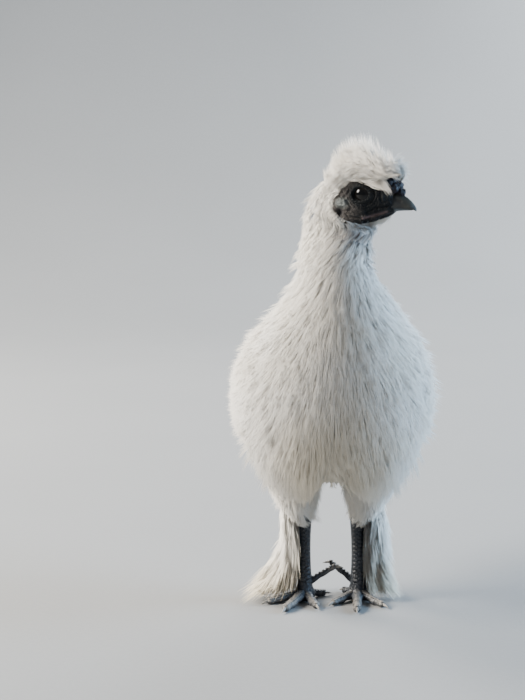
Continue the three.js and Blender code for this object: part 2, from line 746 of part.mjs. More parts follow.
// The wings lie folded in the plumage of the flanks: a patch of the body from the shoulder to the
// tips of the flight feathers, between two angles round each section.
const WING = { from: 7.7, to: 14.3, deep: 13 };
const WING_EDGES = [
  { top: 78, bottom: 86 },
  { top: 62, bottom: 104 },
  { top: 56, bottom: 112 },
  { top: 56, bottom: 112 },
  { top: 60, bottom: 108 },
  { top: 68, bottom: 102 },
  { top: 78, bottom: 96 },
];
const wingEdge = fieldsOf(WING_EDGES);
const wingPlace = (u) => ((u - WING.from) / (WING.to - WING.from)) * (WING_EDGES.length - 1);

// The wing's coat: along from the shoulder to the wing's tip, round from its top edge down to its lower one
const wingPoint = (side) => (along, round, depth) => {
  const u = WING.from + (WING.to - WING.from) * along;
  const t = wingPlace(u);
  const turn = wingEdge.top(t) + (wingEdge.bottom(t) - wingEdge.top(t)) * round;
  return bodyPoint(u, side * turn * RAD, depth);
};

// A block of the wing between two depths, grown or shrunk at its edges
function wingBlock(side, outer, inner, grow = 0) {
  const STEPS = 6;
  const ACROSS = 2;
  const point = wingPoint(side);
  const rings = [];
  for (let k = 0; k <= STEPS; k++) {
    const along = k / STEPS;
    const height = point(along, 0, 0).distanceTo(point(along, 1, 0));
    const end = k === 0 ? -1 : k === STEPS ? 1 : 0;
    const shift = (end * grow) / 150;
    const ring = [];
    const put = (i, depth) => {
      const round = -grow / height + (1 + (2 * grow) / height) * (i / ACROSS);
      ring.push(point(along + shift, round, depth));
    };
    for (let i = 0; i <= ACROSS; i++) put(i, outer);
    for (let i = ACROSS; i >= 0; i--) put(i, inner);
    rings.push(ring);
  }
  return loft(rings);
}

// The folded wing: small coverts as locks, then the vanes of the secondaries and under them the primaries
function wingPlumage(side, random) {
  const point = wingPoint(side);
  const feathers = [];
  const coverts = [
    { along: 0.06, count: 2, start: 0.2, end: 0.98 },
    { along: 0.22, count: 2, start: 0.02, end: 0.9 },
    { along: 0.36, count: 2, start: 0.04, end: 1.04 },
  ];
  for (const row of coverts)
    for (let i = 0; i < row.count; i++) {
      const round = row.start + ((row.end - row.start) * (i + 0.4 + 0.2 * random())) / row.count;
      const from = { along: row.along + 0.03 * random(), round };
      const to = { along: row.along + 0.27 + 0.05 * random(), round: round + 0.06 };
      feathers.push(lock(point, from, to, { half: 12, thick: 2.2, root: 9, tip: 0.6 * random() }));
    }
  const tiers = [
    { count: 5, from: 0.5, to: 0.8, spread: 0.014, top: 0.1, bottom: 0.86, depth: 2.6, lift: 1 },
    { count: 3, from: 0.6, to: 0.98, spread: -0.04, top: 0.3, bottom: 0.96, depth: 5.7, lift: 1.3 },
  ];
  for (const tier of tiers)
    for (let i = 0; i < tier.count; i++) {
      const round = tier.top + ((tier.bottom - tier.top) * (i + 0.5)) / tier.count;
      const from = { along: tier.from, round };
      const to = { along: tier.to + tier.spread * i, round };
      const size = { half: 5.8, thick: 0.8, root: 10, depth: tier.depth, lift: tier.lift };
      feathers.push(vane(point, from, to, size));
    }
  return feathers;
}

// The tail: a short fan of soft feathers from the rump
const TAIL_ROOT = new THREE.Vector3(0, 112, 160);
const TAIL = { rise: 38, reach: 50, wide: 12, spread: 30, thick: 17 };
const tailAlong = new THREE.Vector3(0, Math.cos(TAIL.rise * RAD), Math.sin(TAIL.rise * RAD));
const tailUp = new THREE.Vector3(0, -Math.sin(TAIL.rise * RAD), Math.cos(TAIL.rise * RAD));

// The tail's coat: along from its root to its tips, round from its upper middle
function tailPoint(along, round, depth) {
  const t = Math.max(0, Math.min(1, along));
  const wide = Math.max(0.5, TAIL.wide + TAIL.spread * Math.sin(t * Math.PI * 0.62) - depth * 0.7);
  const thick = Math.max(0.5, TAIL.thick * (1 - t) ** 0.6 + 3 - depth);
  return TAIL_ROOT.clone()
    .addScaledVector(tailAlong, TAIL.reach * along)
    .add(new THREE.Vector3(wide * Math.sin(round), 0, 0))
    .addScaledVector(tailUp, thick * Math.cos(round) - 5 * Math.sin(round) ** 2 * t);
}

function tailBlock(depth, from, to, count = 16) {
  const STEPS = 2;
  const rings = [];
  for (let k = 0; k <= STEPS; k++) {
    const along = from + ((to - from) * k) / STEPS;
    rings.push([...Array(count).keys()].map((i) => tailPoint(along, (2 * Math.PI * i) / count, depth)));
  }
  return loft(rings);
}

// The tail's feathers: a fan of vanes, the middle pair on top, with fluff over and under its roots
function tailPlumage(random) {
  const PAIRS = 5;
  const feathers = [];
  for (const side of [1, -1])
    for (let i = 0; i < PAIRS; i++) {
      const fan = side * (i + 0.5) * 10 * RAD;
      const aside = new THREE.Vector3(Math.sin(fan), 0, 0);
      const way = tailAlong.clone().multiplyScalar(Math.cos(fan)).add(aside);
      const across = new THREE.Vector3().crossVectors(way, tailUp).normalize();
      const length = TAIL.reach * (1.04 - 0.014 * i * i * 0.4);
      const lower = -0.5 - 1.3 * i - (side > 0 ? 0 : 0.65);
      const rings = VANE_STATIONS.map(({ t, wide }) => {
        const half = 7.4 * wide;
        const droop = lower - 3.5 * t * t;
        const middle = TAIL_ROOT.clone().addScaledVector(way, length * t).addScaledVector(tailUp, droop);
        const edge = (k, high) =>
          middle
            .clone()
            .addScaledVector(across, k * half)
            .addScaledVector(tailUp, high);
        return [edge(-1, 0), edge(1, 0), edge(1, -0.6), edge(-1, -0.6)];
      });
      feathers.push(loft(rings));
    }
  const rows = [
    { along: 0.02, count: 5, start: -1.5, end: 1.5, reach: 0.62, half: 11, thick: 3.2, root: 11, step: 0.2 },
    { along: 0.02, count: 4, start: 1.9, end: 4.4, reach: 0.5, half: 11, thick: 3.2, root: 11, step: 0.2 },
  ];
  return feathers.concat(rowsOfLocks(tailPoint, rows, random));
}

// The pieces, each parted from those that touch it

const all = (names, make) => union(names.map(make));
const both = (make) => all([1, -1], make);

const headForm = (grow = 0) => headLoft(HEAD, { count: 14, step: 0.7, grow });
const upperBill = (grow = 0) => headLoft(UPPER_BILL, { count: 10, grow });
const lowerBill = (grow = 0) => headLoft(LOWER_BILL, { count: 10, grow });
const lidRoom = (side) => ellipsoid([9, 4, 8], headPlace(0, side * 12.5, 0), 10, 6);
const nostril = (side) => ellipsoid([2.2, 1.4, 0.8], headPlace(23, side * 5.4, -3.4, side * -14, 12), 6, 4);
const earPit = (side) => ellipsoid([3, 2.2, 2.6], headPlace(-14.4, side * 14, -12.6), 8, 5);

const headGrown = headForm(GAP);
const billGrown = union([upperBill(GAP), lowerBill(GAP)]);
const foldsGrown = both((side) => union([wattle(side, GAP), earLobe(side, GAP)]));
const headRoom = headLoft(HEAD, { count: 12, step: 0.7, grow: GAP + 0.5 });
const faceRoom = union([headRoom, both(lidRoom), foldsGrown, comb(GAP), billGrown]);

const pieces = {};
pieces.head = union([headForm(), both(lids)]).subtract(
  union([both((side) => eyeball(side, GAP)), both(mouthCrease), both(earPit)]),
);
pieces.bill_upper = upperBill().subtract(union([headGrown, both(nostril)]));
pieces.bill_lower = lowerBill().subtract(headGrown);
pieces.comb = comb().subtract(union([headGrown, billGrown]));
for (const [name, side] of Object.entries(SIDES)) {
  pieces[`eye_${name}`] = eyeball(side);
  pieces[`wattle_${name}`] = wattle(side).subtract(union([headGrown, billGrown]));
  pieces[`ear_lobe_${name}`] = earLobe(side).subtract(headGrown);
}

// The crest: a core half as high as its tips, and locks that sweep up and back from its front
const crestCore = loft(
  [0.6, 2, 3.4, 4.8, 6.2, 7.4].map((along) =>
    [...Array(10).keys()].map((i) => crestPoint(along, (2 * Math.PI * i) / 10, CREST_COAT * 0.5)),
  ),
);
const crestRows = [
  { along: 0.8, count: 3, start: -1.2, end: 1.2, reach: 1.9, root: 9, half: 5.4 },
  { along: 1.6, count: 4, start: -1.7, end: 1.7, reach: 2.3, root: 9, half: 7 },
  { along: 3, count: 5, start: -1.9, end: 1.9, reach: 2.5, root: 9, half: 8 },
  { along: 4.4, count: 4, start: -2, end: 2, reach: 2.4, root: 9, half: 9.4 },
  { along: 5.7, count: 4, start: -1.8, end: 1.8, reach: 2, root: 8, half: 8 },
].map((row) => ({ ...row, thick: 2.4, step: 1 }));
pieces.crest = fused([crestCore, ...rowsOfLocks(crestPoint, crestRows, seeded(11))]).subtract(faceRoom);

// Neck, torso and tail share the body's core
const bodyCore = (grow = 0) => bodyLoft(0, BODY_END, (u) => coreDepth(u) - grow, { count: 12, step: 1.15 });
const core = bodyCore();
const coreGrown = bodyCore(GAP);
const neckSide = before(NECK_FOOT, NECK_SKIRT);
const neckSideGrown = before(NECK_FOOT, NECK_SKIRT, SLIT);
const rumpSide = before(RUMP, RUMP_SKIRT);
const rumpSideGrown = before(RUMP, RUMP_SKIRT, SLIT);
const wingRoom = (side, grow = 0) => wingBlock(side, -ROOM - grow, WING.deep + grow, grow);

function bodyRows(from, to, step, width, sunk, extra) {
  const rows = [];
  for (let u = from; u <= to; u += step) {
    const ring = bodyRing(u, 0, 24);
    const girth = ring.reduce((sum, p, i) => sum + p.distanceTo(ring[(i + 1) % 24]), 0);
    const count = Math.max(4, Math.round(girth / width));
    rows.push({ along: u, step, count, root: coreDepth(u) + sunk, ...extra });
  }
  return rows;
}

const neckRows = bodyRows(0.9, 6.5, 0.95, 29, 2.5, { reach: 1.7, half: 11, thick: 3, droop: 0 });
const neckLocks = rowsOfLocks(bodyPoint, neckRows, seeded(23));
pieces.neck = fused([core, ...neckLocks])
  .intersect(neckSide)
  .subtract(union([faceRoom, crestForm(ROOM + GAP)]));

const torsoRows = bodyRows(6.9, 14, 1.1, 46, 5, { reach: 1.9, half: 16, thick: 4.5, droop: 0.16 });
const underWing = (u, v) => {
  const t = wingPlace(u);
  const turn = Math.abs(Math.atan2(Math.sin(v), Math.cos(v))) / RAD;
  return t > 0.3 && t < 5.6 && turn > wingEdge.top(t) + 3 && turn < wingEdge.bottom(t) - 4;
};
const torsoLocks = rowsOfLocks(bodyPoint, torsoRows, seeded(37), underWing);
const torsoCoat = union(torsoLocks).subtract(both((side) => wingRoom(side, GAP)));
pieces.torso = fused([core, torsoCoat])
  .intersect(rumpSide)
  .subtract(union([both((side) => thighForm(side, 1.5 + GAP)), neckSideGrown]));

const tailCore = tailBlock(9, 0, 0.5, 8);
const rumpRows = bodyRows(13.9, 15, 0.8, 40, 3, { reach: 1, half: 15, thick: 3.4, droop: 0 });
const rumpLocks = rowsOfLocks(bodyPoint, rumpRows, seeded(43));
pieces.tail = fused([core, tailCore, ...tailPlumage(seeded(41)), ...rumpLocks]).subtract(
  union([rumpSideGrown, both((side) => wingRoom(side, GAP))]),
);

// Wings and legs
const thighRows = [
  { along: 0.3, count: 4, reach: 1.9, half: 15 },
  { along: 1.5, count: 5, reach: 1.9, half: 13.5 },
  { along: 2.6, count: 5, reach: 1.8, half: 10 },
].map((row) => ({ ...row, start: -1.2, end: 4.3, thick: 3.6, root: 8.6, step: 1 }));

for (const [name, side] of Object.entries(SIDES)) {
  const wingCore = wingBlock(side, 8.2, WING.deep, -3);
  pieces[`wing_${name}`] = fused([wingCore, ...wingPlumage(side, seeded(53))])
    .intersect(wingRoom(side))
    .subtract(union([coreGrown, neckSideGrown]));

  const thighCore = loft(
    [0, 1.4, 2.8, 4.2].map((along) =>
      [...Array(10).keys()].map((i) => thighPoint(side)(along, (2 * Math.PI * i) / 10, THIGH_COAT * 0.5)),
    ),
  );
  const thighLocks = rowsOfLocks(thighPoint(side), thighRows, seeded(67));
  pieces[`thigh_${name}`] = fused([thighCore, ...thighLocks]).subtract(
    union([coreGrown, wingRoom(side, GAP), shankShaft(side, GAP)]),
  );

  const claws = all(Object.values(TOES), (toe) => clawForm(side, toe, GAP));
  const boot = union(bootPlumage(name)).subtract(thighForm(side, 1.5 + GAP));
  pieces[`shank_${name}`] = fused([shankShaft(side), boot]).subtract(union([footForm(side, GAP), claws]));
  pieces[`foot_${name}`] = footForm(side);
  for (const [toeName, toe] of Object.entries(TOES))
    pieces[`claw_${toeName}_${name}`] = clawForm(side, toe).subtract(toeForm(side, toe, GAP));
}

// Colours, as roughness and base colour for each finish
const FINISHES = {
  plumage: { color: 0xf1ebdf, roughness: 0.85 },
  face: { color: 0x3a3338, roughness: 0.6 },
  comb: { color: 0x1d1820, roughness: 0.4 },
  lobe: { color: 0x6f7c80, roughness: 0.6 },
  bill: { color: 0x4b4a48, roughness: 0.4 },
  eye: { color: 0x0d0b0b, roughness: 0.08 },
  scales: { color: 0x343a44, roughness: 0.55 },
  claw: { color: 0x8d8678, roughness: 0.5 },
};

const FINISH_OF = [
  [/^(head|wattle)/, "face"],
  [/^comb/, "comb"],
  [/^ear_lobe/, "lobe"],
  [/^bill/, "bill"],
  [/^eye/, "eye"],
  [/^foot/, "scales"],
  [/^claw/, "claw"],
];

function meshOf(name, made) {
  const { numProp, numVert, vertProperties, triVerts } = made.getMesh();
  const position = new Float32Array(numVert * 3);
  for (let i = 0; i < numVert; i++) {
    position.set(vertProperties.subarray(i * numProp, i * numProp + 3), i * 3);
  }
  const geometry = new THREE.BufferGeometry();
  geometry.setAttribute("position", new THREE.BufferAttribute(position, 3));
  geometry.setIndex(new THREE.BufferAttribute(triVerts, 1));
  geometry.computeVertexNormals();
  const finish = (FINISH_OF.find(([pattern]) => pattern.test(name)) ?? [null, "plumage"])[1];
  const material = new THREE.MeshStandardMaterial({ ...FINISHES[finish], metalness: 0 });
  const mesh = new THREE.Mesh(geometry, material);
  mesh.name = name;
  return mesh;
}

const bird = new THREE.Group();
bird.position.copy(CENTRE_SHIFT);
for (const [name, made] of Object.entries(pieces))
  bird.add(meshOf(name, largest(largest(made).simplify(FINENESS))));
export default bird;
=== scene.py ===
"""The looks of a young white silkie chicken, life size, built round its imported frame.

The tables hold millimetres in the bird's own frame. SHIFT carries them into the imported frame, and the
mesh functions turn them into metres. The bird faces -Y, its own left side is +X, and the floor is z = 0.
"""

import math
from collections import namedtuple

import bpy
import numpy as np
from mathutils import Matrix, Vector, noise


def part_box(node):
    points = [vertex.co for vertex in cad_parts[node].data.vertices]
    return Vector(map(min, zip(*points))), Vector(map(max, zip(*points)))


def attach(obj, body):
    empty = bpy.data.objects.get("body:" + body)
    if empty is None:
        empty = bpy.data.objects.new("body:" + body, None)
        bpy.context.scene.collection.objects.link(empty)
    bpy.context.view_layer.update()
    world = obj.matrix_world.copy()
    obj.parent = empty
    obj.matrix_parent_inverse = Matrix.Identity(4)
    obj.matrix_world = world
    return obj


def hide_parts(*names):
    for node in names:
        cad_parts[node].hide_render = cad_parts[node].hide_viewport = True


bl_info = {
    "name": "Silkie Chicken",
    "version": (1, 0, 0),
    "blender": (4, 5, 0),
    "location": "3D View > Sidebar > Silkie",
    "description": "Builds the skin, head, legs and silky plumage of a life-size silkie chicken",
    "category": "Add Mesh",
}

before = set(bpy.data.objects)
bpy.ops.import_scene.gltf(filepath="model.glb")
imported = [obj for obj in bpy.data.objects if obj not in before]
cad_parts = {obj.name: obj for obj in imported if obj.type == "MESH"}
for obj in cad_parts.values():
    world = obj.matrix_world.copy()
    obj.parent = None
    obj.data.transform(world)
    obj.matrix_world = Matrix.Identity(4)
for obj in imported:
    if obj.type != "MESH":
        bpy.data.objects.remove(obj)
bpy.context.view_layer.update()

MM = 0.001
SIDES = {"left": 1, "right": -1}

# The sizes of the voxels that fuse the legs and the comb
LEG_VOXEL = 0.6
COMB_VOXEL = 0.3

# Driving sizes of the bird
HEAD_TURN = math.radians(65)
HEAD_AT = np.array([18.5, -38.0, 294.0])  # midway between the eyes
LEG_SPREAD = 19
LEG_BACK = 12
EYE_SIDE = 7.2
EYE_RADIUS = 7
TUFT_PATCH = 0.003  # how much of the unwrap one strand takes


def middle_of(*nodes):
    """The middle of the boxes of some nodes of the frame, in millimetres."""
    corners = [np.array(corner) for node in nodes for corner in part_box(node)]
    return sum(corners) / len(corners) / MM


SHIFT = middle_of("eye_left", "eye_right") - HEAD_AT


# Curves and tables


def curve(values):
    """A smooth curve through evenly numbered values, for arrays of places."""
    v = np.asarray(values, float)

    def at(t):
        i = np.clip(np.floor(t).astype(int), 0, len(v) - 2)
        f = t - i
        b, c = v[i], v[i + 1]
        a = np.where(i > 0, v[np.maximum(i - 1, 0)], 2 * b - c)
        d = np.where(i + 2 < len(v), v[np.minimum(i + 2, len(v) - 1)], 2 * c - b)
        return b + 0.5 * f * (c - a + f * (2 * a - 5 * b + 4 * c - d + f * (3 * (b - c) + d - a)))

    return at


def table(names, rows):
    """A table of sections as one curve for each named column."""
    return {name: curve([row[i] for row in rows]) for i, name in enumerate(names.split())}


def rounded(value, power):
    return np.sign(value) * np.abs(value) ** (2 / power)


def unit(vectors):
    return vectors / np.maximum(np.linalg.norm(vectors, axis=-1, keepdims=True), 1e-9)


def clamped(value):
    return np.clip(value, 0, 1)


def bell(*away):
    """1 at a place and less the further away from it, as a bell curve of each distance's share."""
    return np.exp(-sum(share**2 for share in away))


def turns(count, offset=0.0):
    """Angles of evenly spaced places round a ring."""
    return 2 * np.pi * (np.arange(count) + offset) / count


def stack(*parts):
    return np.stack(np.broadcast_arrays(*parts), -1).astype(float)


# The body, from nape to rump: sections along a spine, as half sizes out to the tips of the plumage
BODY = table(
    "x y z turn tilt side back front coat",
    [
        (0.4, -29.5, 307, 65, 0, 7, 6, 5, 5),
        (-3.2, -27.8, 298, 65, 0, 13, 12, 9, 6),
        (-5, -27.2, 283, 65, 0, 17, 17.5, 12, 7),
        (0.6, -31, 271, 60, 0, 22.5, 26, 26, 9),
        (-1.6, -34, 261, 48, 0, 24, 24.5, 24.5, 11),
        (-3, -36, 247, 26, 0, 26, 26, 25.5, 13),
        (-1.3, -35, 234, 10, 4, 29.5, 29, 29, 14),
        (0, -32, 217, 0, 12, 41, 37, 38, 18),
        (0, -27, 196, 0, 22, 54, 51, 50, 22),
        (0, -19, 175, 0, 31, 64, 65, 63, 25),
        (0, -4, 155, 0, 40, 69, 74, 72, 25),
        (0, 23, 144, 0, 51, 71, 71, 71, 25),
        (0, 53, 142, 0, 61, 68, 64, 63, 25),
        (0, 82, 146, 0, 70, 58, 52, 51, 24),
        (0, 105, 152, 0, 79, 42, 37, 36, 20),
        (0, 120, 158, 0, 86, 24, 21, 20, 12),
        (0, 128, 161, 0, 90, 8, 7, 7, 4),
    ],
)
BODY_END = 16
BODY_SQUARENESS = 2.15  # 2 is round
HEAD_SQUARENESS = 2.2
SKIN_DEPTH = 0.38  # of the coat
SKIN_ACROSS = 180  # places round each ring of the skin


def body_point(u, v, depth):
    """A point of the body, v round from the back of section u, depth under the plumage's tips."""
    u = np.clip(u, -0.5, BODY_END + 0.3)
    turn, tilt = np.radians(BODY["turn"](u)), np.radians(BODY["tilt"](u))
    left = stack(np.cos(turn), np.sin(turn), 0)
    back = stack(-np.sin(turn) * np.cos(tilt), np.cos(turn) * np.cos(tilt), np.sin(tilt))
    s, c = np.sin(v), np.cos(v)
    side = np.maximum(0.5, BODY["side"](u) - depth)
    reach = np.maximum(0.5, np.where(c > 0, BODY["back"](u), BODY["front"](u)) - depth)
    middle = stack(BODY["x"](u), BODY["y"](u), BODY["z"](u))
    aside, behind = side * rounded(s, BODY_SQUARENESS), reach * rounded(c, BODY_SQUARENESS)
    return middle + left * aside[..., None] + back * behind[..., None]


# The head's frame: forward, to its left, and up from a point midway between the eyes
HEAD_AXES = np.array(
    [
        [math.sin(HEAD_TURN), -math.cos(HEAD_TURN), 0],
        [math.cos(HEAD_TURN), math.sin(HEAD_TURN), 0],
        [0, 0, 1],
    ]
)


def in_head(f, l, z):
    return HEAD_AT + stack(f, l, z) @ HEAD_AXES


def to_head(points):
    """Places in the bird's frame as forward, left and up in the head's frame."""
    return (points - HEAD_AT) @ HEAD_AXES.T


# The skin of head and throat: front and back points of each section in the head's middle plane, half width
HEAD_SKIN = table(
    "front_f front_z back_f back_z half",
    [
        (19.5, -12.5, 19.5, 3, 6.4),
        (16, -15, 16, 7, 8.4),
        (9, -18, 9, 12, 10.8),
        (4.4, -19.7, 3, 14.6, 12.2),
        (3.6, -20.6, -5, 16, 13.4),
        (3.4, -21.2, -13, 15, 14),
        (3.4, -21.8, -21, 10.5, 14.2),
        (3.2, -22.4, -28, 1.5, 14.3),
        (2.6, -23.2, -33.5, -10, 15),
    ],
)

HEAD_END = 8


def head_point(along, around, depth):
    """A point of the head's skin, along from the bill to the throat and around from its top."""
    along = np.clip(along, 0, HEAD_END + 0.4)
    front = np.stack([HEAD_SKIN["front_f"](along), HEAD_SKIN["front_z"](along)], -1)
    back = np.stack([HEAD_SKIN["back_f"](along), HEAD_SKIN["back_z"](along)], -1)
    axis = (back - front) / 2
    reach = np.linalg.norm(axis, axis=-1)
    share = np.maximum(0.1, 1 - depth / reach) * rounded(np.cos(around), HEAD_SQUARENESS)
    place = (back + front) / 2 + axis * share[..., None]
    wide = np.maximum(0.5, HEAD_SKIN["half"](along) - depth) * rounded(np.sin(around), HEAD_SQUARENESS)
    return in_head(place[..., 0], wide, place[..., 1])


# The outline of the bare face in the head's frame: forward and up
FACE_EDGE = [
    (22, 1),
    (18.5, 1),
    (14.1, 2.4),
    (8.4, 4.2),
    (2.6, 6.8),
    (-1.2, 8.6),
    (-7.9, 8),
    (-13.5, 2.6),
    (-19, -3),
    (-19.2, -9.6),
    (-14.4, -16.4),
    (-9, -19),
    (-1.2, -19.2),
    (5, -18.2),
    (11, -16.4),
    (18, -13.6),
    (22, -12),
]


def segment_distance(f, z, a, b):
    """How far places are from the segment between two points."""
    d = (b[0] - a[0], b[1] - a[1])
    t = clamped(((f - a[0]) * d[0] + (z - a[1]) * d[1]) / (d[0] ** 2 + d[1] ** 2))
    return np.hypot(f - a[0] - d[0] * t, z - a[1] - d[1] * t)


def path_distance(f, z, path):
    return np.min([segment_distance(f, z, a, b) for a, b in zip(path, path[1:])], axis=0)


def face_inside(f, z):
    """How far places lie inside the outline of the bare face, negative outside."""
    inside = np.zeros(np.shape(f), bool)
    ring = list(zip(FACE_EDGE, FACE_EDGE[1:] + FACE_EDGE[:1]))
    for (f0, z0), (f1, z1) in ring:
        if z0 != z1:
            inside ^= ((z0 > z) != (z1 > z)) & (f < (f1 - f0) * (z - z0) / (z1 - z0) + f0)
    reach = np.min([segment_distance(f, z, a, b) for a, b in ring], axis=0)
    return np.where(inside, reach, -reach)


# Meshes from arrays


def mesh_object(name, points, faces, uv=None):
    """A mesh object from places in the bird's frame. Faces are a list of arrays of corners."""
    mesh = bpy.data.meshes.new(name)
    faces = [np.asarray(group, np.int32) for group in faces if len(group)]
    corners = np.concatenate([group.ravel() for group in faces])
    sizes = np.concatenate([np.full(len(group), group.shape[1], np.int32) for group in faces])
    mesh.vertices.add(len(points))
    mesh.vertices.foreach_set("co", ((points + SHIFT) * MM).astype(np.float32).ravel())
    mesh.loops.add(len(corners))
    mesh.loops.foreach_set("vertex_index", corners)
    mesh.polygons.add(len(sizes))
    mesh.polygons.foreach_set("loop_start", np.concatenate([[0], np.cumsum(sizes)[:-1]]).astype(np.int32))
    mesh.update(calc_edges=True)
    mesh.validate()
    mesh.polygons.foreach_set("use_smooth", np.full(len(sizes), True))
    if uv is not None:
        layer = mesh.uv_layers.new(name="OFBake")
        layer.data.foreach_set("uv", uv[corners].astype(np.float32).ravel())
    piece = bpy.data.objects.new(name, mesh)
    bpy.context.scene.collection.objects.link(piece)
    return piece


def ring_quads(count, across):
    """The faces between neighbouring rings, each of as many places across."""
    k, i = np.meshgrid(np.arange(count - 1) * across, np.arange(across), indexing="ij")
    j = (i + 1) % across
    return np.stack([k + i, k + j, k + across + j, k + across + i], -1).reshape(-1, 4)


def loft(rings):
    """Points and faces of a closed form from its rings (ring, place round, xyz)."""
    rings = np.asarray(rings)
    count, across = rings.shape[:2]
    points = np.concatenate([rings.reshape(-1, 3), rings[[0, -1]].mean(1)])
    here = np.arange(across)
    after = (here + 1) % across
    last = (count - 1) * across
    first_end = np.stack([after, here, np.full(across, count * across)], -1)
    last_end = np.stack([last + here, last + after, np.full(across, count * across + 1)], -1)
    return points, [ring_quads(count, across), first_end, last_end]


def turned_out(points, faces):
    """The same faces, turned to face outwards."""
    volume = 0
    for group in faces:
        p = points[group]
        for n in range(1, group.shape[1] - 1):
            volume += np.einsum("ij,ij->", p[:, 0], np.cross(p[:, n], p[:, n + 1]))
    return faces if volume > 0 else [group[:, ::-1] for group in faces]


def joined(forms):
    """Several forms, each points and faces, as one."""
    points, faces, start = [], [], 0
    for some_points, some_faces in forms:
        points.append(some_points)
        faces.extend(group + start for group in turned_out(some_points, some_faces))
        start += len(some_points)
    return np.concatenate(points), faces


def shape_applied(piece):
    """The piece with its modifiers turned into a plain mesh."""
    graph = bpy.context.evaluated_depsgraph_get()
    mesh = bpy.data.meshes.new_from_object(piece.evaluated_get(graph))
    piece.modifiers.clear()
    old = piece.data
    piece.data = mesh
    bpy.data.meshes.remove(old)
    return piece


def remeshed(piece, voxel):
    """One closed surface round all that the piece holds."""
    modifier = piece.modifiers.new("Fuse", "REMESH")
    modifier.mode = "VOXEL"
    modifier.voxel_size = voxel * MM
    modifier.use_smooth_shade = True
    smooth = piece.modifiers.new("Soften", "SMOOTH")
    smooth.factor = 0.5
    smooth.iterations = 2
    return shape_applied(piece)


def vertices_of(piece):
    """A piece's vertices, in the bird's frame."""
    flat = np.empty(len(piece.data.vertices) * 3, np.float32)
    piece.data.vertices.foreach_get("co", flat)
    return flat.reshape(-1, 3) / MM - SHIFT


def paint(piece, name, values):
    """A number for each vertex, for the piece's material to read."""
    attribute = piece.data.attributes.new(name, "FLOAT", "POINT")
    attribute.data.foreach_set("value", np.asarray(values, np.float32))


def finished(piece, finish, replaces=()):
    """Gives a piece its material and sets it on the frame."""
    piece.data.materials.clear()
    piece.data.materials.append(material_of(finish, bpy.context.scene.silkie))
    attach(piece, "root")
    if replaces:
        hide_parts(*replaces)
    return piece


def bumpy(points, size, seed):
    """Smooth noise between -1 and 1 at places, over lumps of the given size."""
    return np.array([noise.noise(Vector(p) / size + Vector((seed, 0, 0))) for p in points])


# Skin


def ringed_skin(across):
    """The skin from the root of the bill over head and neck to the rump, as rings."""
    v = turns(across)
    rings = []
    for t in np.linspace(0, HEAD_END, 190):
        rings.append(head_point(np.full(across, t), v, 0 * v))
    for u in np.arange(3.35, BODY_END, 0.12):
        rings.append(body_point(np.full(across, u), v, BODY["coat"](u) * SKIN_DEPTH))
    return np.array(rings)


# The line of the closed mouth on each cheek, forward and up, and other folds: path, depth and half width
MOUTH = [(18.5, -12.6), (10, -16), (1, -18.6)]
FOLDS = [
    (MOUTH, 1.1, 0.8),
    ([(19, -10.8), (11, -13), (2, -15.6)], 0.7, 0.7),
    ([(16.5, -8), (9, -9), (3, -12)], 0.45, 0.6),
    ([(-2, -16), (-8, -15), (-12, -11)], 0.5, 0.7),
    ([(-8, 2), (-11, -2), (-12, -3)], 0.5, 0.7),
    ([(9, 6), (12, 2), (13, -4)], 0.4, 0.7),
]
EAR_PIT = (-14.6, -12.4)
BARE_FROM = 2.5  # how far from the head's middle the relief starts
CRINKLES = ((1.6, 3, 0.32), (0.8, 7, 0.16))  # size of the lumps, seed and height


def swelling(f, z, middle, radii):
    """A round swelling, 1 in its middle and 0 from its edge on, and the share of the way to its edge."""
    away = np.hypot((f - middle[0]) / radii[0], (z - middle[1]) / radii[1])
    return clamped(1 - away**2) ** 0.6, away


def face_relief(f, l, z):
    """How far the bare face's skin stands out of its plain form: lid socket, folds, lobe and ear."""
    eye = np.hypot(f / 1.12, z)
    relief = -4.5 * clamped((5.2 - eye) / 1.2)
    relief += 0.28 * np.cos(2 * np.pi * (eye - 7.2) / 1.7) * bell((eye - 8) / 2.2)
    relief += 0.9 * bell((z - 8.5) / 2.4, (f - 2) / 8)
    relief += 0.8 * bell((z + 11) / 5, (f + 3) / 7)
    lobe, from_lobe = swelling(f, z, (-13.4, -5.6), (4.6, 3.4))
    relief += 2.0 * lobe + 0.35 * np.cos(from_lobe * 9) * bell(from_lobe)
    relief += 0.14 * np.cos(2 * np.pi * f / 1.2) * (from_lobe < 1)
    relief += 1.4 * swelling(f, z, (-9.4, -8.6), (2.6, 2.2))[0]
    relief -= 2.6 * bell(np.hypot(f - EAR_PIT[0], (z - EAR_PIT[1]) / 1.2) / 2.1)
    for path, deep, wide in FOLDS:
        away = path_distance(f, z, path)
        relief += deep * (0.7 * bell((away - 2 * wide) / wide) - bell(away / wide))
    relief += 1.7 * swelling(f, z + 0.16 * (f - 8), (8, -16.6), (9, 2.6))[0]
    return np.where(np.abs(l) > BARE_FROM, relief, 0) * clamped((np.abs(l) - BARE_FROM) / 3)


def wrinkled(points, normals):
    """The head's skin with its relief and a fine crinkle."""
    f, l, z = to_head(points).T
    bare = clamped(face_inside(f, z) / 2 + 0.8) * (np.abs(l) > BARE_FROM)
    crinkle = sum(bumpy(points, size, seed) * height for size, seed, height in CRINKLES)
    return points + normals * ((face_relief(f, l, z) + crinkle) * bare)[:, None]


# Legs

THIGH = table(
    "x y z wide deep",
    [
        (20, 16, 53, 5.5, 6.5),
        (22, 14, 58, 9.5, 12),
        (24, 12, 67, 13.5, 18),
        (26, 10, 80, 18.5, 25),
        (30, 10, 95, 22.8, 30),
        (31, 12, 112, 21, 28),
    ],
)
THIGH_TOP = 5


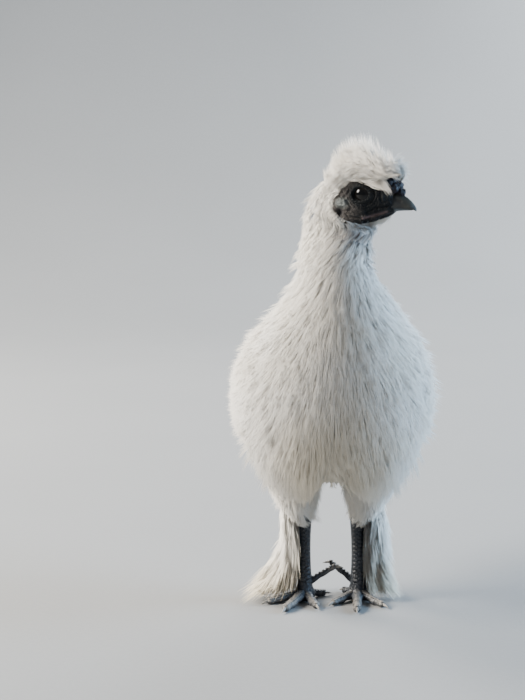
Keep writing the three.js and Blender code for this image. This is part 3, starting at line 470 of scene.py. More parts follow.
def thigh_point(side):
    """The thigh's coat: along runs down from its top, and round is a quarter turn on the outer side."""

    def at(along, around, depth):
        t = THIGH_TOP - np.clip(along, -0.6, 5.5)
        wide, deep = THIGH["wide"](t), THIGH["deep"](t)
        x = THIGH["x"](t) + np.maximum(0.5, wide - np.minimum(depth, wide * 0.75)) * np.sin(around)
        y = THIGH["y"](t) + np.maximum(0.5, deep - np.minimum(depth, deep * 0.75)) * np.cos(around)
        return stack(side * x, y, THIGH["z"](t))

    return at


def core(coat, places, depth):
    """A closed form of flesh inside a coat, that deep under its tips."""
    v = turns(40)
    return loft([coat(np.full(40, along), v, depth) for along in places])


SHANK = {"bottom": 6, "top": 66, "lean": 7, "wide": 4.3, "deep": 5.2, "from": 11, "to": 58}


def shank_middle(z):
    """The share of the shank's height, and how much thicker it is there than at its waist."""
    t = (z - SHANK["from"]) / (SHANK["to"] - SHANK["from"])
    return t, 1 + 0.25 * np.clip(2 * t - 1, -1.1, 1.1) ** 2


def shank_form(side):
    """The shank, as rings from the ball of the foot up into the thigh's fluff."""
    across = 40
    v = turns(across)
    rings = []
    for z in np.arange(SHANK["bottom"], SHANK["top"], 0.7):
        t, waist = shank_middle(z)
        x = side * (LEG_SPREAD + SHANK["wide"] * waist * np.sin(v))
        y = LEG_BACK + SHANK["lean"] * t + SHANK["deep"] * waist * np.cos(v)
        rings.append(stack(x, y, z))
    return loft(rings)


# Each toe's angle from straight ahead towards the outside, reach, half thickness, rise and root height
Toe = namedtuple("Toe", "angle reach thick rise root")
TOES = {
    "hallux": Toe(-142, 17, 3.1, 0, 5),
    "fifth": Toe(-112, 22, 2.7, 15, 9),
    "inner": Toe(-38, 27, 3.2, 0, 4),
    "middle": Toe(2, 37, 3.6, 0, 4),
    "outer": Toe(40, 30, 3.2, 0, 4),
}
FOOT_TURN = {1: -8, -1: 24}


def toe_line(side, name, t):
    """Places along a toe's middle, its half thickness there and its heading."""
    angle, reach, thick, rise, root = TOES[name]
    heading = math.radians(angle + FOOT_TURN[side])
    along = np.array([side * math.sin(heading), -math.cos(heading), 0])
    half = thick * (1 - 0.28 * t)
    height = root + rise * t**0.8 if rise else half + (root - 1.2) * clamped(1 - t) ** 2.2
    base = np.array([side * LEG_SPREAD, LEG_BACK, 0])
    return base + along * (reach * t)[..., None] + stack(0 * t, 0 * t, height), half, along


def toe_form(side, name):
    """A toe with its joints' pads below; a toe that rests has its sole on the floor."""
    across, steps = 28, 44
    v = turns(across, 0.5)
    t = np.linspace(0, 1.02, steps)
    line, half, along = toe_line(side, name, t)
    sideways = np.cross([0, 0, 1], along)
    joint = 1 + 0.13 * np.cos(2 * np.pi * 3 * t)
    end = np.where(t > 0.94, 1 - ((t - 0.94) / 0.1) ** 2 * 0.8, 1)
    rings = line[:, None] + (half * joint * end * 1.05)[:, None, None] * np.sin(v)[None, :, None] * sideways
    under = np.where(np.cos(v) < 0, 1 + 0.1 * (joint[:, None] - 1) / 0.13, 1)
    rings[..., 2] += (half * end)[:, None] * np.cos(v)[None] * under
    if not TOES[name].rise:
        rings[..., 2] = np.maximum(rings[..., 2], 0.02)
    return loft(rings)


def ball_form(side):
    """The ball of the foot, where the toes meet."""
    v = turns(32)
    rings = []
    for z, r in ((0.02, 5.6), (0.8, 6.9), (3, 7.4), (6, 7.1), (9, 6.1), (12, 4.9)):
        rings.append(stack(side * LEG_SPREAD + r * np.sin(v), LEG_BACK + r * np.cos(v), z))
    return loft(rings)


# Where a claw starts on its toe's end, its reach, half thickness as a share of the toe's, and drop
CLAW = {"start": -1.5, "reach": 7.6, "half": 0.62, "drop": 1.5}


def claw_form(side, name):
    """A claw: a tapered hook that carries on from the end of its toe."""
    line, half, along = toe_line(side, name, np.array([1.0]))
    sideways = np.cross([0, 0, 1], along)
    v = turns(14, 0.5)
    rising = TOES[name].rise > 0
    rings = []
    for t in np.linspace(0, 0.98, 12):
        r = half[0] * CLAW["half"] * (1 - t) ** 0.7 + 0.06
        drop = -CLAW["drop"] * t * t if rising else -(line[0, 2] - 0.6) * t * t
        further = along * (CLAW["start"] + CLAW["reach"] * t)
        middle = line[0] + further + np.array([0, 0, drop + half[0] * 0.15])
        ring = middle + np.sin(v)[:, None] * r * 0.8 * sideways
        ring[:, 2] += r * np.cos(v)
        ring[:, 2] = np.maximum(ring[:, 2], 0.12)
        rings.append(ring)
    return loft(rings)


# Bill, comb and lids

UPPER_BILL = table(
    "f top bottom half",
    [
        (12, 0.5, -8.7, 7.2),
        (20, 2, -8.7, 6.2),
        (26, -0.6, -8.8, 4.8),
        (30.5, -3.8, -9.1, 3.4),
        (33, -6.6, -9.7, 2),
        (34.6, -9, -10.6, 0.9),
    ],
)
LOWER_BILL = table(
    "f top bottom half",
    [(12, -8.6, -13.2, 5.7), (20, -8.6, -11.6, 4.7), (27, -8.9, -10.9, 3.2), (32, -9.5, -10.7, 1.3)],
)


def bill_form(shape, last, flat):
    """Half of the bill: a ridged or keeled form, flat where the halves meet."""
    across = 48
    v = turns(across)
    rings = []
    for t in np.concatenate([np.linspace(0, last - 0.25, 60), np.linspace(last - 0.2, last, 6)]):
        close = 1 if t < last - 0.2 else math.sqrt(max(0.02, 1 - ((t - last + 0.2) / 0.2) ** 2))
        top, bottom, half = shape["top"](t), shape["bottom"](t), shape["half"](t)
        base, tip = (bottom, top) if flat > 0 else (top, bottom)
        away = clamped(np.cos(v) * flat) ** 0.85
        narrow = 1 - 0.35 * away**2
        z = base + (tip - base) * (0.4 + 0.6 * close) * away - flat * 0.5 * np.sin(v) ** 2
        rings.append(in_head(shape["f"](t), half * close * rounded(np.sin(v), 2.3) * narrow, z))
    return loft(rings)


# The comb's bulbs in the head's frame: forward, left, up and radius, and the warts on each
WARTS = 20
COMB_BULBS = [
    (13.8, 0, 10, 4.2),
    (17.6, 0, 8.6, 4.4),
    (21.2, 0, 5.2, 4.2),
    (24, 0, 1.4, 3.2),
    (15.6, 3.6, 6.8, 3.6),
    (15.6, -3.6, 6.8, 3.6),
    (19.8, 3.6, 3.4, 3.6),
    (19.8, -3.6, 3.4, 3.6),
]


def ball(centre, radii, across=20, down=12):
    """A closed ball in the head's frame."""
    v = turns(across)
    rings = []
    for a in np.linspace(0.02, np.pi - 0.02, down):
        f = centre[0] + radii[0] * np.sin(a) * np.cos(v)
        l = centre[1] + radii[1] * np.sin(a) * np.sin(v)
        rings.append(in_head(f, l, centre[2] + radii[2] * np.cos(a)))
    return loft(rings)


def side_of_head(f, z):
    """Half the plain head's width at a place on its side."""
    t = np.interp(-f, [-19.5, -16, -9, -3.7, 0.7, 4.8, 8.8], [0, 1, 2, 3, 4, 5, 6])
    low, high = HEAD_SKIN["front_z"](t), HEAD_SKIN["back_z"](t)
    height = np.clip(np.abs((z - (low + high) / 2) / ((high - low) / 2)), 0, 0.98)
    return HEAD_SKIN["half"](t) * (1 - height**HEAD_SQUARENESS) ** (1 / HEAD_SQUARENESS)


# The lids' section: share of the opening, how far off the eyeball or skin, and how much of the skin
LID_PROFILE = [
    (0.9, -1.2, 0),
    (0.97, 0.1, 0),
    (1.0, 0.35, 0),
    (1.08, 0.75, 0.3),
    (1.2, 1.0, 0.7),
    (1.34, 0.8, 1),
    (1.5, 0.35, 1),
    (1.66, 0.05, 1),
    (1.85, -1.2, 1),
]


LID_LENGTH, LID_HEIGHT = 5.0, 4.3  # half sizes of the opening


def lid_form(side):
    """Both lids as one soft ridge round the eye, heavier above, with a beaded rim."""
    count = 120
    a = turns(count)
    rings = []
    for share, off, skin in LID_PROFILE:
        long, high = LID_LENGTH * share, LID_HEIGHT * share * (1 + 0.04 * np.sin(a))
        f, z = long * np.cos(a), high * np.sin(a)
        globe = EYE_SIDE + np.sqrt(np.maximum(4, EYE_RADIUS**2 - f**2 - z**2))
        plain = side_of_head(f, z)
        heavy = 1 + 0.35 * clamped(np.sin(a))
        bead = 0.1 * np.sin(30 * a) * (share < 1.3) + 0.12 * np.sin(17 * a + 4 * share)
        level = globe * (1 - skin) + plain * skin
        rings.append(in_head(f, side * (level + off * heavy + bead * (off > 0.2)), z))
    faces = ring_quads(len(rings), count)
    return np.reshape(rings, (-1, 3)), [faces if side < 0 else faces[:, ::-1]]


# Plumage

CREST_SPACING = 2.4
HEAD_SPACING = 1.7
SEEDS = {"comb": 5, "crest": 11, "head": 29, "boots": 47, "thighs": 61, "tail": 71, "wings": 83, "body": 100}
CURL = 0.05  # how far a strand sways, as a share of its reach
FEATHER_LENGTHS = (0.75, 1.2)  # the least and the most, as shares of the length asked for
STRAND_LENGTHS = (0.62, 1.1)  # the same of one feather's strands
STRAND_WIDTHS = (0.7, 1.25)
STATIONS = np.array([0, 0.3, 0.66, 1])  # along a strand, from root to tip
THICKNESS = np.array([0.75, 1, 0.8])
EVEN_STEPS = np.array([[0.7548776662], [0.5698402910]])  # of an evenly filling sequence of places
SOFTNESS = 0.82  # how far a strand's shading follows the coat instead of the strand


def random_of(name, step=0):
    """The random numbers of one piece, the same in each run."""
    return np.random.default_rng(SEEDS[name] + step)


def strand_mesh(grown, root_uv):
    """Tapered three-sided strands: points, triangles, their places on the unwrap and soft normals."""
    line, half = grown["line"], grown["half"]
    count, stations = line.shape[:2]
    rings = stations - 1
    wide = half[:, None] * np.interp(np.linspace(0, 1, rings), [0, 0.5, 1], THICKNESS)
    out = grown["outward"][:, :rings] * wide[..., None]
    side = grown["across"][:, :rings] * wide[..., None]
    body = line[:, :rings]
    ring = np.stack([body - side - 0.3 * out, body + 0.6 * out, body + side - 0.3 * out], 2)
    points = np.concatenate([ring.reshape(count, rings * 3, 3), line[:, -1:]], 1)
    up = grown["up"][:, :rings, None]
    soft = unit((1 - SOFTNESS) * unit(ring - body[:, :, None]) + SOFTNESS * up)
    soft = np.concatenate([soft.reshape(count, rings * 3, 3), grown["up"][:, -1:]], 1)
    tri = [(0, 2, 1)]
    for k in range(rings - 1):
        for i in range(3):
            j = (i + 1) % 3
            tri += [(3 * k + i, 3 * k + j, 3 * k + 3 + j), (3 * k + i, 3 * k + 3 + j, 3 * k + 3 + i)]
    last = 3 * (rings - 1)
    tri += [(last, last + 1, last + 3), (last + 1, last + 2, last + 3), (last + 2, last, last + 3)]
    each = 3 * rings + 1
    faces = (np.array(tri)[None] + each * np.arange(count)[:, None, None]).reshape(-1, 3)
    place = np.concatenate([np.tile([[0, 0], [0.5, 0], [1, 0]], (rings, 1)), [[0.5, 1]]]).astype(float)
    place[: 3 * rings, 1] = np.repeat(np.arange(rings) / rings, 3)
    uv = root_uv[grown["own"], None] + TUFT_PATCH * (place - 0.5)
    flat = points.reshape(-1, 3)
    return flat, turned_out(flat, [faces]), uv.reshape(-1, 2), soft.reshape(-1, 3)


def plumes(
    coat, spots, rng, *, count, length, spread, root, tip, half, lean=0.08, drift=None,
    stand=0.0, rise=1.7, wild=0.0, wisp=5.0,
):
    """Silky feathers on a coat: from each spot a bunch of strands that fan out and lie along it.

    Root and tip are depths under the coat's tips, and rise is how soon a strand comes up between them. Some
    strands stand off by as much as stand. A share of the feathers, wild, stands up by about wisp
    millimetres and ends in one point.
    """
    along, around = spots.T
    deep = root(along) if callable(root) else np.full(len(along), float(root))
    step = 0.02
    here, further, beside = (
        coat(along + a, around + b, deep * 0.4) for a, b in ((0, 0), (step, 0), (0, step))
    )
    per_along = np.linalg.norm(further - here, axis=-1) / step
    per_around = np.maximum(np.linalg.norm(beside - here, axis=-1) / step, 1.5)
    size = length * rng.uniform(*FEATHER_LENGTHS, len(along))
    aside = rng.normal(0, lean, len(along))
    lift = rng.normal(0, 0.5, len(along))
    own = np.repeat(np.arange(len(along)), count)
    n = len(own)
    fan = rng.uniform(-1, 1, n)
    loose = (rng.uniform(0, 1, len(along)) < wild)[own]
    reach = size[own] * (1 - 0.3 * np.abs(fan) ** 2) * rng.uniform(*STRAND_LENGTHS, n)
    swing = (fan * spread * np.where(loose, 0.25, 1) + aside[own] + rng.normal(0, 0.05, n)) * reach
    if drift is not None:
        swing = swing + drift(along, around)[own] * reach
    t = STATIONS
    sway = CURL * reach[:, None] * np.sin(t * np.pi * 1.3 + rng.uniform(0, 2 * np.pi, n)[:, None]) * t
    a = along[own, None] + (rng.normal(0, 0.7, n)[:, None] + reach[:, None] * t) / per_along[own, None]
    gather = 1 - 0.7 * loose[:, None] * t
    side_way = rng.normal(0, 0.9, n)[:, None] * gather + swing[:, None] * t**1.25 + sway * gather
    b = around[own, None] + side_way / per_around[own, None]
    top = (tip + lift)[own] + rng.normal(0, 0.8, n)
    depth = deep[own, None] + (top - deep[own])[:, None] * (1 - (1 - t) ** rise)
    depth = depth - (stand * rng.uniform(0, 1, n) ** 3)[:, None] * t**2.5
    depth = depth - loose[:, None] * (wisp * rng.uniform(0.5, 1.2, len(along)))[own, None] * t**1.8
    line = coat(a, b, depth)
    up = unit(coat(a, b, depth - 1) - coat(a, b, depth + 1))
    return strands(line, up, half * rng.uniform(*STRAND_WIDTHS, n), own, rng)


def strands(line, up, half, own, rng):
    """Strands along lines, each turned a little about itself. Up is away from what they grow on."""
    forward = unit(np.gradient(line, axis=1))
    across = unit(np.cross(forward, up))
    outward = unit(np.cross(across, forward))
    spin = rng.uniform(-0.7, 0.7, len(line))[:, None, None]
    turned = across * np.cos(spin) + outward * np.sin(spin)
    outward = outward * np.cos(spin) - across * np.sin(spin)
    return {"line": line, "across": turned, "outward": outward, "up": up, "half": half, "own": own}


def scattered(coat, spans, spacing, rng, depth):
    """Places spread evenly over a stretch of a coat, as along and around.

    They stand about spacing apart at that depth.
    """
    cells = 90
    (a0, a1), (b0, b1) = spans
    a, b = np.meshgrid(np.linspace(a0, a1, cells), np.linspace(b0, b1, cells), indexing="ij")
    p = coat(a, b, np.full(a.shape, depth))
    area = np.linalg.norm(np.cross(p[1:, :-1] - p[:-1, :-1], p[:-1, 1:] - p[:-1, :-1]), axis=-1)
    number = int(area.sum() / spacing**2)
    first, second = np.mod(rng.uniform(0, 1, (2, 1)) + np.arange(number) * EVEN_STEPS, 1)
    rows = np.append(0, np.cumsum(area.sum(1)) / area.sum())
    row = np.interp(first, rows, np.arange(cells))
    shares = np.cumsum(area, 1) / area.sum(1, keepdims=True)
    shares = np.concatenate([np.zeros((cells - 1, 1)), shares], 1)[np.minimum(row.astype(int), cells - 2)]
    column = np.array([np.interp(place, share, np.arange(cells)) for place, share in zip(second, shares)])
    along = a0 + (a1 - a0) * row / (cells - 1)
    around = b0 + (b1 - b0) * column / (cells - 1)
    return np.stack([along, around], -1)


def off_face(grown, most):
    """Which strands keep clear of the bare face. Most is how far each may reach over its edge."""
    f, l, z = np.moveaxis(to_head(grown["line"]), -1, 0)
    over = (face_inside(f, z) > most[:, None]) & (np.abs(l) > 2) & (f > -24) & (z > -26)
    return ~over.any(1)


def kept(grown, mask):
    return {key: value[mask] for key, value in grown.items()}


def coat_piece(name, grown, root_uv, replaces=(), finish="Silky plumage"):
    """A coat piece from grown strands and the unwrapped place of each feather's root."""
    points, faces, uv, soft = strand_mesh(grown, root_uv)
    piece = mesh_object(name, points, faces, uv)
    piece.data.normals_split_custom_set_from_vertices(soft.astype(np.float32))
    return finished(piece, finish, replaces)


def bunched(*groups):
    """Several groups of strands as one, each with its root places: the strands and all root places."""
    grown, places, start = [], [], 0
    for group, root_uv in groups:
        grown.append({**group, "own": group["own"] + start})
        places.append(root_uv)
        start += len(root_uv)
    return {key: np.concatenate([g[key] for g in grown]) for key in grown[0]}, np.concatenate(places)


def unwrapped(spots, spans):
    """Root places as a share of the coat's own spans, for the unwrap."""
    (a0, a1), (b0, b1) = spans
    return np.stack([(spots[:, 1] - b0) / (b1 - b0), (spots[:, 0] - a0) / (a1 - a0)], -1) * 0.98 + 0.01


# Materials


def add(tree, kind, at=(0, 0), **settings):
    node = tree.nodes.new(kind)
    node.location = at
    for key, value in settings.items():
        setattr(node, key, value)
    return node


def wire(tree, *pairs):
    """Links each output to its input."""
    for out, into in pairs:
        tree.links.new(out, into)


def sockets(tree, in_out, **kinds):
    """Adds a node group's sockets, each with its kind and, where it has one, its default."""
    for name, (kind, *default) in kinds.items():
        label = name.replace("_", " ")
        socket = tree.interface.new_socket(name=label, in_out=in_out, socket_type=f"NodeSocket{kind}")
        if default:
            socket.default_value = default[0]


def new_material(name, tint, *values, **constants):
    """A material whose shader takes its colour from a function and constants on its own sockets."""
    material = bpy.data.materials.new(name)
    material.use_nodes = True
    tree = material.node_tree
    inputs = tree.nodes["Principled BSDF"].inputs
    for socket, value in constants.items():
        inputs[socket.replace("_", " ")].default_value = value
    wire(tree, (tint(tree, *values), inputs["Base Color"]))
    return material


def mottled_group():
    """A shared effect: fine and coarse mottling of two colours, with a height for bumps."""
    tree = bpy.data.node_groups.new("Mottling", "ShaderNodeTree")
    light, dark = ("Color", (0.8, 0.8, 0.8, 1)), ("Color", (0.4, 0.4, 0.4, 1))
    scales = {"Coarse": ("Float", 60.0), "Fine": ("Float", 900.0)}
    sockets(tree, "INPUT", Light=light, Dark=dark, **scales, Spread=("Float", 0.5))
    sockets(tree, "OUTPUT", Color=("Color",), Height=("Float",))
    inputs = add(tree, "NodeGroupInput", (-700, 0)).outputs
    outputs = add(tree, "NodeGroupOutput", (500, 0)).inputs
    place = add(tree, "ShaderNodeTexCoord", (-700, -250))
    both = add(tree, "ShaderNodeMath", (-150, 0), operation="ADD")
    for i, scale in enumerate(scales):
        texture = add(tree, "ShaderNodeTexNoise", (-400, 120 - 300 * i))
        texture.inputs["Detail"].default_value = 3.0
        wire(
            tree,
            (place.outputs["Object"], texture.inputs["Vector"]),
            (inputs[scale], texture.inputs["Scale"]),
            (texture.outputs["Fac"], both.inputs[i]),
        )
    ramp = add(tree, "ShaderNodeMapRange", (50, 0), interpolation_type="SMOOTHSTEP")
    for end, operation, high in (("From Min", "SUBTRACT", 250), ("From Max", "ADD", 420)):
        limit = add(tree, "ShaderNodeMath", (-150, high), operation=operation)
        limit.inputs[0].default_value = 1.0  # the middle of the two textures' sum
        wire(tree, (inputs["Spread"], limit.inputs[1]), (limit.outputs[0], ramp.inputs[end]))
    mix = add(tree, "ShaderNodeMix", (260, 0), data_type="RGBA")
    wire(
        tree,
        (both.outputs[0], ramp.inputs["Value"]),
        (ramp.outputs[0], mix.inputs["Factor"]),
        (inputs["Dark"], mix.inputs["A"]),
        (inputs["Light"], mix.inputs["B"]),
        (mix.outputs["Result"], outputs["Color"]),
        (both.outputs[0], outputs["Height"]),
    )
    return tree


def mottling(tree, light, dark, coarse, fine, spread, at=(-500, 100)):
    """Places the mottling group in a material with its own values."""
    group = bpy.data.node_groups.get("Mottling") or mottled_group()
    node = add(tree, "ShaderNodeGroup", at, node_tree=group)
    values = {"Light": (*light, 1), "Dark": (*dark, 1), "Coarse": coarse, "Fine": fine, "Spread": spread}
    for name, value in values.items():
        node.inputs[name].default_value = value
    return node.outputs


def bumped(tree, height, distance, strength=1.0):
    bump = add(tree, "ShaderNodeBump", (-200, -300))
    bump.inputs["Distance"].default_value = distance
    bump.inputs["Strength"].default_value = strength
    normal = tree.nodes["Principled BSDF"].inputs["Normal"]
    wire(tree, (height, bump.inputs["Height"]), (bump.outputs["Normal"], normal))


def cell_bumps(tree, scale, distance, strength):
    """A net of small cells, raised or sunk by the distance."""
    cells = add(tree, "ShaderNodeTexVoronoi", (-700, -500))
    cells.inputs["Scale"].default_value = scale
    place = add(tree, "ShaderNodeTexCoord", (-900, -500))
    wire(tree, (place.outputs["Object"], cells.inputs["Vector"]))
    bumped(tree, cells.outputs["Distance"], distance, strength)


def blended(tree, factor, first, second, at=(-200, 100)):
    """A colour that goes from the first to the second with the factor."""
    mix = add(tree, "ShaderNodeMix", at, data_type="RGBA")
    wire(tree, (factor, mix.inputs["Factor"]))
    for socket, value in ((mix.inputs["A"], first), (mix.inputs["B"], second)):
        if isinstance(value, tuple):
            socket.default_value = (*value, 1)
        else:
            wire(tree, (value, socket))
    return mix.outputs["Result"]


def read_attribute(tree, name, at=(-800, 300)):
    return add(tree, "ShaderNodeAttribute", at, attribute_name=name).outputs["Fac"]


def smooth_range(tree, at, values):
    """A node that carries a value smoothly from one range to another."""
    node = add(tree, "ShaderNodeMapRange", at, interpolation_type="SMOOTHSTEP")
    for socket, value in zip(("From Min", "From Max", "To Min", "To Max"), values):
        node.inputs[socket].default_value = value
    return node


def about(tree, centre, radii, most, at):
    """A soft mask: most about a place of the bird and 0 beyond the radii, in millimetres."""
    x, y = at
    place = add(tree, "ShaderNodeTexCoord", at)
    local = add(tree, "ShaderNodeMapping", (x + 180, y), vector_type="TEXTURE")
    local.inputs["Location"].default_value = ((centre + SHIFT) * MM).tolist()
    local.inputs["Scale"].default_value = [r * MM for r in radii]
    away = add(tree, "ShaderNodeVectorMath", (x + 360, y), operation="LENGTH")
    fade = smooth_range(tree, (x + 540, y), (1.0, 0.3, 0.0, most))
    wire(
        tree,
        (place.outputs["Object"], local.inputs["Vector"]),
        (local.outputs["Vector"], away.inputs[0]),
        (away.outputs["Value"], fade.inputs["Value"]),
    )
    return fade.outputs[0]


def plumage_tint(tree, look):
    """White silk, with a warmer, darker tone low on the breast that is partly the coat's cream and partly
    painted shade, and a dark grey under the throat that is partly grey down and mostly painted shade.
    """
    white = mottling(tree, look.plumage_light, look.plumage_shade, 26.0, 420.0, 0.34)["Color"]
    # Painted shade, partly the coat's real cream: the middle of the breast is made warmer and darker.
    breast = about(tree, np.array([-4.0, -48, 98]), (60, 64, 84), 0.85, (-1500, 500))
    # Painted shade under the jaw: the throat's plumage is darkened to grey.
    throat = about(tree, in_head(0.0, -10.0, -27.0), (22, 22, 14), 0.9, (-1500, 200))
    warmed_and_shaded = blended(tree, breast, white, (0.70, 0.61, 0.46), (-700, 400))
    return blended(tree, throat, warmed_and_shaded, (0.22, 0.20, 0.18), (-450, 300))


def boot_tint(tree, look):
    """Cream at the root and dusty yellow towards the floor."""
    white = (look.plumage_light, look.plumage_shade)
    dusty = ((0.86, 0.77, 0.58), (0.66, 0.56, 0.40))
    clean = mottling(tree, *white, 40.0, 420.0, 0.34, (-900, 200))["Color"]
    soiled = mottling(tree, *dusty, 130.0, 500.0, 0.34, (-900, -100))["Color"]
    place = add(tree, "ShaderNodeTexCoord", (-1300, 500))
    height = add(tree, "ShaderNodeSeparateXYZ", (-1100, 500))
    fade = smooth_range(tree, (-900, 500), (0.045, 0.004, 0.1, 0.85))
    wire(tree, (place.outputs["Object"], height.inputs["Vector"]))
    wire(tree, (height.outputs["Z"], fade.inputs["Value"]))
    return blended(tree, fade.outputs[0], clean, soiled)


def skin_tint(tree, look):
    """Pale skin under the coat, near-black crinkled skin on the face, grey lobes, spotted throat, and
    painted shade in the ear's hollow and along the mouth line.
    """
    tones = {
        "pale": ((0.88, 0.85, 0.79), (0.84, 0.80, 0.72), 70.0, 500.0, 0.4),
        "throat": ((0.40, 0.35, 0.31), (0.10, 0.09, 0.09), 170.0, 420.0, 0.22),
        "face": (look.face_light, look.face_dark, 160.0, 1400.0, 0.35),
        "cheek": (look.cheek, (0.030, 0.027, 0.025), 210.0, 1300.0, 0.4),
        "lobe": (look.lobe, (0.09, 0.10, 0.10), 300.0, 1600.0, 0.4),
    }
    tone = {}
    for row, (part, values) in enumerate(tones.items()):
        tone[part] = mottling(tree, *values, (-1300, 500 - 300 * row))["Color"]

    def marked(mask, row, first, second):
        return blended(tree, read_attribute(tree, mask, (-1300, 700 + 150 * row)), first, second)

    coat = marked("throat", 0, tone["pale"], tone["throat"])
    flushed = marked("blush", 2, marked("cheek", 1, tone["face"], tone["cheek"]), (0.16, 0.115, 0.11))
    with_lobe = marked("lobe", 4, marked("bare", 3, coat, flushed), tone["lobe"])
    cell_bumps(tree, 900.0, 0.0006, 0.7)
    # Painted shade: the ear's hollow and the mouth line are darkened to near black.
    return marked("painted_crease_shade", 5, with_lobe, (0.010, 0.010, 0.012))


def comb_tint(tree, look):
    tone = mottling(tree, look.comb, (0.007, 0.006, 0.010), 220.0, 1500.0, 0.35)
    bumped(tree, tone["Height"], 0.0004)
    return tone["Color"]


def bill_tint(tree, look):
    """Dark horn at the root of the bill, paler towards the ridge and the tip, with painted shade in the slit
    of the nose.
    """
    root = mottling(tree, (0.015, 0.017, 0.017), (0.006, 0.007, 0.007), 200.0, 1100.0, 0.4, (-900, 200))
    tip = mottling(tree, look.bill_tip, (0.030, 0.031, 0.023), 200.0, 1100.0, 0.4, (-900, -100))
    colour = blended(tree, read_attribute(tree, "tip"), root["Color"], tip["Color"])
    bumped(tree, root["Height"], 0.00012)
    # Painted shade: the slit of the nose is darkened to near black.
    return blended(tree, read_attribute(tree, "nostril_shade", (-800, 500)), colour, (0.006, 0.006, 0.007))


def eye_tint(tree, look):
    """A near-black pupil in a dark brown iris, with a black rim round it."""
    ramp = add(tree, "ShaderNodeValToRGB", (-400, 100))
    stops = ramp.color_ramp.elements
    stops[0].position, stops[0].color = 0.30, (0.002, 0.002, 0.002, 1)
    stops[1].position, stops[1].color = 0.34, (*look.iris, 1)
    for position, colour in ((0.50, (0.010, 0.009, 0.008, 1)), (0.56, (0.008, 0.006, 0.006, 1))):
        stops.new(position).color = colour
    wire(tree, (read_attribute(tree, "gaze"), ramp.inputs["Fac"]))
    return ramp.outputs["Color"]


def scale_tint(tree, look):
    """Slate scales, dusted on the toes, with a small net of scales as bumps."""
    slate = mottling(tree, look.shank, (0.013, 0.015, 0.020), 120.0, 900.0, 0.4, (-900, 200))["Color"]
    dusty = ((0.40, 0.36, 0.30), (0.10, 0.095, 0.095))
    dust = mottling(tree, *dusty, 180.0, 900.0, 0.3, (-900, -100))["Color"]
    cell_bumps(tree, 620.0, -0.0007, 0.8)
    return blended(tree, read_attribute(tree, "dust"), slate, dust)


def claw_tint(tree, look):
    tone = mottling(tree, look.claw, (0.10, 0.09, 0.08), 260.0, 1200.0, 0.45)
    bumped(tree, tone["Height"], 0.0001)
    return tone["Color"]


def backdrop_tint(tree):
    return mottling(tree, (0.30, 0.30, 0.295), (0.275, 0.275, 0.27), 4.0, 300.0, 0.6)["Color"]


# Each material's colour, and the roughness and gloss of its surface
MATERIALS = {
    "Silky plumage": (plumage_tint, {"Roughness": 0.62, "Sheen_Weight": 0.25, "Sheen_Roughness": 0.5}),
    "Foot feathers": (boot_tint, {"Roughness": 0.65, "Sheen_Weight": 0.2, "Sheen_Roughness": 0.5}),
    "Skin": (skin_tint, {"Roughness": 0.6, "Specular_IOR_Level": 0.16}),
    "Comb": (
        comb_tint,
        {"Roughness": 0.55, "Specular_IOR_Level": 0.3, "Coat_Weight": 0.05, "Coat_Roughness": 0.35},
    ),
    "Horn of the bill": (bill_tint, {"Roughness": 0.5, "Coat_Weight": 0.08, "Coat_Roughness": 0.3}),
    "Eye": (
        eye_tint,
        {"Roughness": 0.15, "Specular_IOR_Level": 0.1, "Coat_Weight": 0.4, "Coat_Roughness": 0.02},
    ),
    "Leg scales": (scale_tint, {"Roughness": 0.48, "Coat_Weight": 0.1, "Coat_Roughness": 0.4}),
    "Claw horn": (claw_tint, {"Roughness": 0.4, "Coat_Weight": 0.15, "Coat_Roughness": 0.3}),
}


def material_of(name, look):
    """The material of that name, made the first time it is asked for."""
    tint, surface = MATERIALS[name]
    return bpy.data.materials.get(name) or new_material(name, tint, look, **surface)


# Settings


def colour(name, description, default):
    """A colour that a user may change."""
    settings = {"name": name, "description": description, "default": default}
    return bpy.props.FloatVectorProperty(subtype="COLOR", **settings)


def measure(name, description, default, unit="LENGTH"):
    """A length in metres or an angle that a user may change."""
    settings = {"name": name, "description": description, "default": default}
    return bpy.props.FloatProperty(unit=unit, precision=5, **settings)


class SilkieLook(bpy.types.PropertyGroup):
    """Sizes and colours that a user may change."""

    feather_spacing: measure("Feather Spacing", "Distance between the roots of the body's feathers", 0.00412)
    strand_half: measure("Strand Half Width", "Half the width of a body strand", 0.00022)
    strands: bpy.props.IntProperty(
        name="Strands", description="Strands in one silky feather", default=12, min=3
    )
    plumage_light: colour("Plumage", "White of the plumage", (0.94, 0.905, 0.84))
    plumage_shade: colour("Plumage Shade", "Cream of the plumage", (0.90, 0.84, 0.73))
    cheek: colour("Cheek", "Grey-brown of the cheeks", (0.085, 0.076, 0.070))
    face_light: colour("Face", "Lighter tone of the bare face", (0.009, 0.011, 0.012))
    face_dark: colour("Face Dark", "Darker tone of the bare face", (0.004, 0.004, 0.005))
    lobe: colour("Ear Lobe", "Blue-grey of the ear lobes", (0.21, 0.225, 0.21))
    comb: colour("Comb", "Mulberry of the comb", (0.013, 0.012, 0.019))
    bill_tip: colour("Bill Tip", "Horn colour of the bill's tip", (0.050, 0.049, 0.034))
    iris: colour("Iris", "Dark brown of the iris", (0.008, 0.007, 0.006))
    shank: colour("Shank", "Slate of the legs", (0.030, 0.037, 0.048))
    claw: colour("Claw", "Horn of the claws", (0.46, 0.42, 0.36))
    camera_distance: measure("Camera Distance", "From the bird's middle", 1.3)
    camera_azimuth: measure("Camera Azimuth", "Round from straight ahead", math.radians(-5), "ROTATION")
    camera_elevation: measure("Camera Elevation", "Above level", math.radians(9), "ROTATION")

    @property
    def spacing(self):
        """The feathers' spacing in millimetres."""
        return self.feather_spacing / MM

    @property
    def half(self):
        """Half a strand's width in millimetres."""
        return self.strand_half / MM


def look_of(context):
    return context.scene.silkie


# Operators


